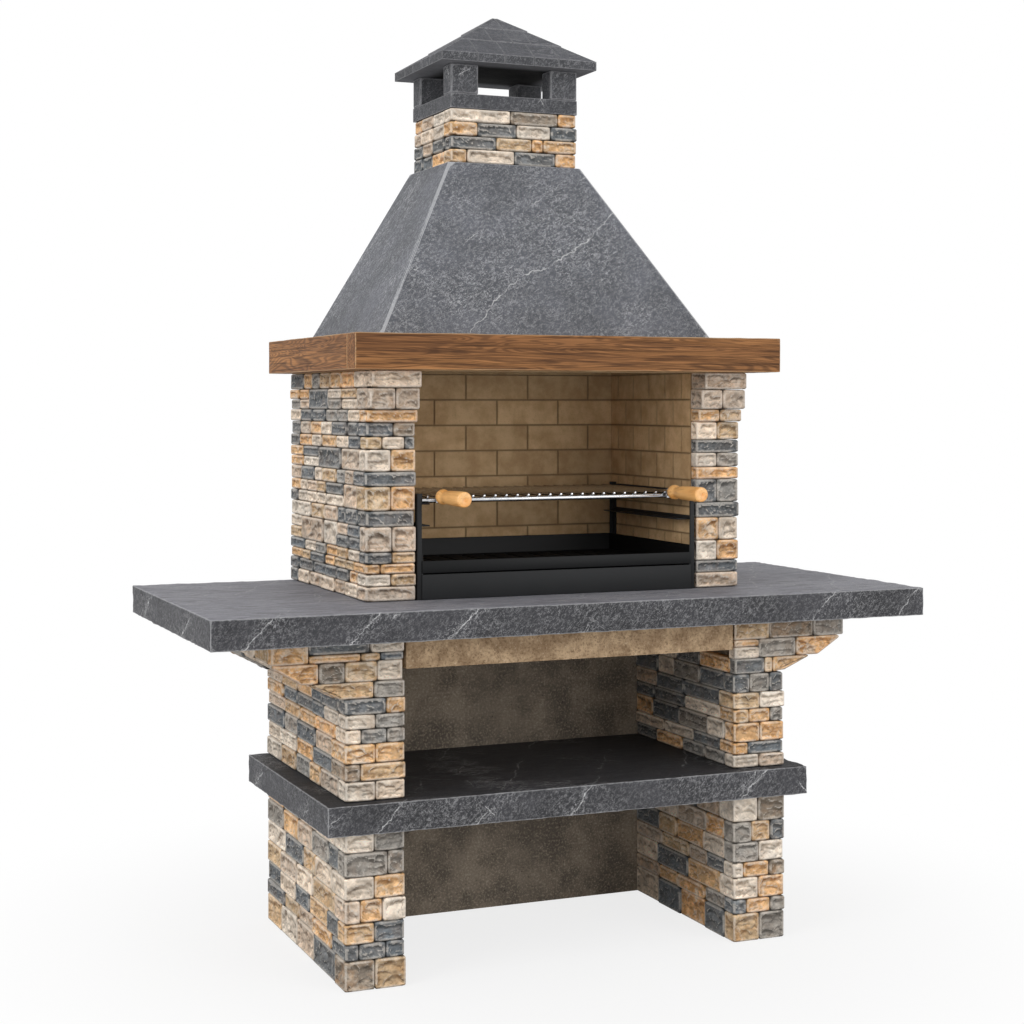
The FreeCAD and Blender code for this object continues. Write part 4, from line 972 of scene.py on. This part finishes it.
# Hood: four mitred panels of grey slate, wider at the foot, leaning in to the chimney. One long
# white vein runs across the front panel.
HOOD_CRACK = ((-0.22, 1.472), (-0.133, 1.558), (-0.053, 1.625), (0.027, 1.650), (0.109, 1.696),
              (0.187, 1.746), (0.26, 1.812))
HOOD_GRAIN = {"front": (0.8, 0.25, 0.5), "rear": (0.8, 0, 0.6), "left": (0.5, 0, 0.866),
              "right": (-0.5, 0, 0.866)}
HOOD_SLOPES = {"front": (0, 0.455, 0.89), "rear": (0, -0.12, 0.99), "left": (0.5, 0, 0.866),
               "right": (-0.5, 0, 0.866)}
HOOD_VEINS = {
    "front": (((-0.45, 0.0, 0.89), 0.2, 0.24, 0.0014, 0.5),),
    "left": (((0.3, 0.88, 0.36), 0.1, 0.19, 0.0014, 0.5),),
    "right": (((0.3, 0.88, -0.36), 0.2, 0.31, 0.0016, 0.54),),
    "rear": (((0.63, 0.0, 0.77), 0.15, 0.43, 0.0018, 0.5),),
}


def riven(node, cell, angle):
    """A copy of a node in small triangles, with its edges sharper than an angle to be worn."""
    piece = copy_of(node, node + "_riven")
    lines = sharp_lines(piece, angle)
    bpy.ops.object.mode_set(mode="EDIT")
    bpy.ops.mesh.select_all(action="SELECT")
    bpy.ops.mesh.quads_convert_to_tris()
    bpy.ops.object.mode_set(mode="OBJECT")
    divide(piece, cell)
    worn_edges(piece, lines)
    bpy.ops.object.shade_smooth_by_angle(angle=math.radians(20))
    return piece


HOOD_CELL = 0.02
HOOD_ARRIS = (0.0014, 0.6)
for side, veins in HOOD_VEINS.items():
    node = f"hood_{side}_panel"
    panel = riven(node, HOOD_CELL, 20)
    panel_slate = slate(
        f"hood_{side}_slate", "#54565b", "#676970", "#676970", "#c6c7ca", 0.72, veins, HOOD_ARRIS,
        HOOD_GRAIN[side], HOOD_SLOPES[side], HOOD_CRACK if side == "front" else (),
    )
    settle(panel, panel_slate, "hood_slate", "masonry", node)

# Chimney: a hollow block of cast concrete on the hood, clad with four courses of the same stone.
# Its corner stones are long on one side and then on the other.
dress(concrete, "chimney_flue_block")
CHIMNEY_ROWS = ("TCDO", "DTOO", "ODCD", "CNO")
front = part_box("chimney_stones")[0].y
rock_face("chimney_stones", "chimney_flue_block", CHIMNEY_ROWS, front, "chimney_sides")

# Chimney cap: a slate ring on the chimney, a slate post at each corner, and a roof block covered
# with slate tiles in three courses, bedded in mortar.
# Its upper sides take a slightly lighter tone: painted light from above.
cap_slate = slate(
    "cap_slate", "#3a3b3e", "#494a4e", "#53545a", "#a9a9ac", 0.45, SLAB_VEINS[1:], (0.0018, 0.4),
)
CAP_CELL = 0.012
CAP_NODES = ["cap_base_ring"]
for side in SIDES:
    CAP_NODES += [f"cap_front_{side}_post", f"cap_rear_{side}_post"]
for node in CAP_NODES:
    settle(riven(node, CAP_CELL, 35), cap_slate, "cap_slate", "masonry", node)
tiles = copy_of("cap_roof_tiles", "cap_roof_tiles_riven")
lines = sharp_lines(tiles)
outline_faces(tiles)
worn_edges(tiles, lines)
bpy.ops.object.shade_smooth_by_angle(angle=math.radians(20))
settle(tiles, cap_slate, "cap_slate", "masonry", "cap_roof_tiles")
soot, soot_shader, place = start_finish("sooted_slate")
smoke = place.noise(14, 5, 0.65)
low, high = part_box("cap_base_ring")
middle, half = (low + high) / 2, (high - low) / 2
aside = abs(place.axis("X") - middle.x) / half.x
aside = aside.most(abs(place.axis("Y") - middle.y) / half.y)
colour = smoke.rise(0.3, 0.72).blend(tint("#121212"), tint("#2b2a2a"))
colour = aside.rise(0.7, 1.0).blend(colour, (0.6 + 0.8 * smoke).darken(tint("#6a6b6f")))
colour.to(soot_shader, "Base Color")
soot_shader.inputs["Roughness"].default_value = 0.95
soot_shader.inputs["Specular IOR Level"].default_value = 0.15
place.noise(90, 4, 0.65).bumps(0.002).to(soot_shader, "Normal")
dress(soot, "cap_roof_block")

# Fire insert: folded black sheet steel on the worktop. A casing carries the ember tray; corner
# uprights and two pairs of rails stand beside it; the ash drawer slides under the tray.
black_steel, steel_shader, place = start_finish("black_steel")
cloud = place.noise(9, 4, 0.6)
skin = place.noise(420, 2, 0.6)
colour = cloud.rise(0.3, 0.7).blend(tint("#08090a"), tint("#0f1011"))
colour = (place.attribute("worn").rise(0.0185, 0.02) * 0.3).blend(colour, tint("#5a5b5d"))
colour.to(steel_shader, "Base Color")
(0.4 + 0.12 * cloud + 0.06 * skin).to(steel_shader, "Roughness")
steel_shader.inputs["Specular IOR Level"].default_value = 0.16
skin.bumps(0.00025).to(steel_shader, "Normal")
sooted, sooted_shader, place = start_finish("sooted_steel")
outside = (0 - place.node("ShaderNodeNewGeometry", out="True Normal").axis("Y")).rise(0.6, 0.95)
outside.blend(tint("#050505"), tint("#131415")).to(sooted_shader, "Base Color")
(0.95 - 0.5 * outside).to(sooted_shader, "Roughness")
sooted_shader.inputs["Specular IOR Level"].default_value = 0.18
FOLD_ROUND = 0.0006
STEEL = {"insert_casing": "masonry", "ember_tray": "masonry",
         "ash_drawer_pan": "drawer", "ash_drawer_front": "drawer"}
for side in SIDES:
    for name in ("front_upright", "rear_upright", "upper_rail", "lower_rail"):
        STEEL[f"{side}_{name}"] = "masonry"
for node, body in STEEL.items():
    part = copy_of(node, node + "_folded")
    lines = sharp_lines(part)
    take(part)
    bpy.ops.object.modifier_add(type="BEVEL")
    rounding = part.modifiers[-1]
    rounding.width = FOLD_ROUND
    rounding.segments = 2
    rounding.limit_method = "ANGLE"
    bpy.ops.object.modifier_apply(modifier=rounding.name)
    bpy.ops.object.shade_smooth_by_angle(angle=math.radians(40))
    worn_edges(part, lines)
    finish = sooted if node == "ember_tray" else black_steel
    settle(part, finish, "black_steel", body, node)

# Grill: chromed steel wires welded across a front and a rear bar that slide on the upper rails,
# and two tangs with collars that carry the handles.
chrome, chrome_shader, place = start_finish("chrome")
haze = place.noise(60, 4, 0.6)
haze.rise(0.2, 0.8).blend(tint("#b9babc"), tint("#d6d7d9")).to(chrome_shader, "Base Color")
chrome_shader.inputs["Metallic"].default_value = 1.0
(0.16 + 0.16 * haze).to(chrome_shader, "Roughness")


BAR_SIDES = 24
WIRE_SIDES = 12
TANG_SIDES = 20
EASED_END = 0.16


def round_rod(name, start, end, diameter, sides):
    """A round rod with eased ends between two points, along X or along Y."""
    start = Vector(start)
    end = Vector(end)
    turn = (end - start).to_track_quat("Z", "Y").to_euler()
    bpy.ops.object.select_all(action="DESELECT")
    bpy.ops.mesh.primitive_cylinder_add(
        vertices=sides, radius=diameter / 2, depth=(end - start).length,
        location=(start + end) / 2, rotation=turn,
    )
    rod = bpy.context.object
    rod.name = name
    bpy.ops.object.transform_apply(location=True, rotation=True, scale=True)
    spots = points_of(rod)
    run = np.array((end - start).normalized())
    place_along = (spots - np.array(start)) @ run
    ends = ends_of(rod)
    level = np.abs(place_along[ends[:, 0]] - place_along[ends[:, 1]]) < 1e-6
    select_edges(rod, level)
    bpy.ops.mesh.bevel(offset=diameter * EASED_END, segments=2, clamp_overlap=False)
    bpy.ops.object.mode_set(mode="OBJECT")
    bpy.ops.object.shade_smooth_by_angle(angle=math.radians(50))
    return rod


for node in ("grill_front_bar", "grill_rear_bar"):
    low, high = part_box(node)
    middle = (low + high) / 2
    bar = round_rod(node + "_round", (low.x, middle.y, middle.z), (high.x, middle.y, middle.z),
                    high.z - low.z, BAR_SIDES)
    settle(bar, chrome, "chrome", "grill", node)

wires = copy_of("grill_wires", "grill_wires_guide")
spots = points_of(wires)
numbers = blocks_of(wires)
low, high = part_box("grill_wires")
thick = high.z - low.z
level = (low.z + high.z) / 2
across = [spots[numbers == number][:, 0].mean() for number in range(numbers.max() + 1)]
bpy.data.objects.remove(wires)
first = round_rod("grill_wires_round", (across[0], low.y, level), (across[0], high.y, level),
                  thick, WIRE_SIDES)
copies = [first]
for x in across[1:]:
    wire = first.copy()
    wire.data = first.data.copy()
    wire.data.transform(Matrix.Translation((x - across[0], 0, 0)))
    bpy.context.scene.collection.objects.link(wire)
    copies.append(wire)
take(first)
for wire in copies:
    wire.select_set(True)
bpy.ops.object.join()
settle(first, chrome, "chrome", "grill", "grill_wires")

COLLAR_THICKNESS = 0.006
COLLAR_RISE = 0.022
COLLAR_GAP = 0.010
COLLAR_ROUND = 0.0012
TANG = 0.008
bar_low, bar_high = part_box("grill_front_bar")
bar_front = (bar_low.y + bar_high.y) / 2
for side in SIDES:
    node = f"{side}_handle_tang"
    low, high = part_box(node)
    at = (low.x + high.x) / 2
    axis_level = high.z - (high.x - low.x) / 2
    tang = round_rod(node + "_round", (at, low.y, axis_level), (at, high.y, axis_level),
                     TANG, TANG_SIDES)
    collar = cuboid(
        (at, bar_front - COLLAR_GAP - COLLAR_THICKNESS / 2, high.z - COLLAR_RISE / 2),
        (high.x - low.x, COLLAR_THICKNESS, COLLAR_RISE),
    )
    ease(collar, COLLAR_ROUND, 2)
    bpy.ops.object.shade_smooth_by_angle(angle=math.radians(40))
    take(tang)
    collar.select_set(True)
    bpy.ops.object.join()
    settle(tang, chrome, "chrome", "grill", node)

# Handles: turned from light beech and varnished. A ball and a slim neck lead into a grip that
# swells a little towards its end; each is bored and driven onto its tang.
# The turning gives the distance from the ball's end and the radius there, in millimetres.
HANDLE_SIDES = 40
TURNING = (
    (0.0, 9.9), (1.2, 12.4), (3.2, 14.6), (6.5, 16.6), (10.5, 17.7), (15.0, 18.0), (19.5, 17.5),
    (23.0, 16.3), (25.6, 14.9), (27.6, 13.9), (30.0, 13.5), (36.0, 13.55), (42.0, 14.3),
    (49.0, 15.6), (56.0, 16.5), (66.0, 16.9), (84.0, 17.3), (108.0, 17.7), (132.0, 18.0),
    (148.0, 17.9), (150.3, 17.2), (151.6, 15.9), (152.0, 14.0), (152.0, 5.0), (151.4, 3.4),
    (150.2, 2.8),
)
beech, beech_shader, place = start_finish("handle_beech")
rings = place.stretched((34, 3.2, 34)).noise(1, 3, 0.55, 0.4)
fine = place.stretched((420, 16, 420)).noise(1, 3, 0.6)
colour = rings.rise(0.3, 0.7).blend(tint("#efa656"), tint("#fac27c"))
colour = (((rings * 40).sine() * 0.5 + 0.5).rise(0.5, 1.0) * 0.3).blend(colour, tint("#cd9150"))
colour = (fine.rise(0.52, 0.72) * 0.35).blend(colour, tint("#a8743c"))
colour.to(beech_shader, "Base Color")
(0.36 + 0.14 * fine).to(beech_shader, "Roughness")
beech_shader.inputs["Coat Weight"].default_value = 0.35
beech_shader.inputs["Coat Roughness"].default_value = 0.12
fine.bumps(0.0004).to(beech_shader, "Normal")
for side in SIDES:
    node = f"{side}_handle"
    low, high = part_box(node)
    axis = Vector(((low.x + high.x) / 2, high.y, (low.z + high.z) / 2))
    bpy.ops.object.select_all(action="DESELECT")
    bpy.ops.mesh.primitive_circle_add(
        vertices=HANDLE_SIDES, radius=TURNING[0][1] / 1000, fill_type="NGON", location=axis,
        rotation=(math.radians(90), 0, 0),
    )
    grip = bpy.context.object
    grip.name = node + "_turned"
    bpy.ops.object.transform_apply(location=True, rotation=True, scale=True)
    bpy.ops.object.mode_set(mode="EDIT")
    bpy.ops.mesh.select_mode(type="FACE")
    bpy.ops.mesh.select_all(action="SELECT")
    for (before, wide), (after, next_wide) in zip(TURNING, TURNING[1:]):
        step = (0, (before - after) / 1000, 0)
        bpy.ops.mesh.extrude_region_move(TRANSFORM_OT_translate={"value": step})
        ratio = next_wide / wide
        centre = axis - Vector((0, after / 1000, 0))
        bpy.ops.transform.resize(value=(ratio, 1, ratio), center_override=centre)
    bpy.ops.mesh.select_mode(type="EDGE")
    bpy.ops.mesh.select_all(action="DESELECT")
    bpy.ops.mesh.select_non_manifold()
    bpy.ops.mesh.edge_face_add()
    bpy.ops.mesh.select_all(action="SELECT")
    bpy.ops.mesh.normals_make_consistent(inside=False)
    bpy.ops.object.mode_set(mode="OBJECT")
    bpy.ops.object.shade_smooth_by_angle(angle=math.radians(40))
    settle(grip, beech, "handle_wood", "grill", node)
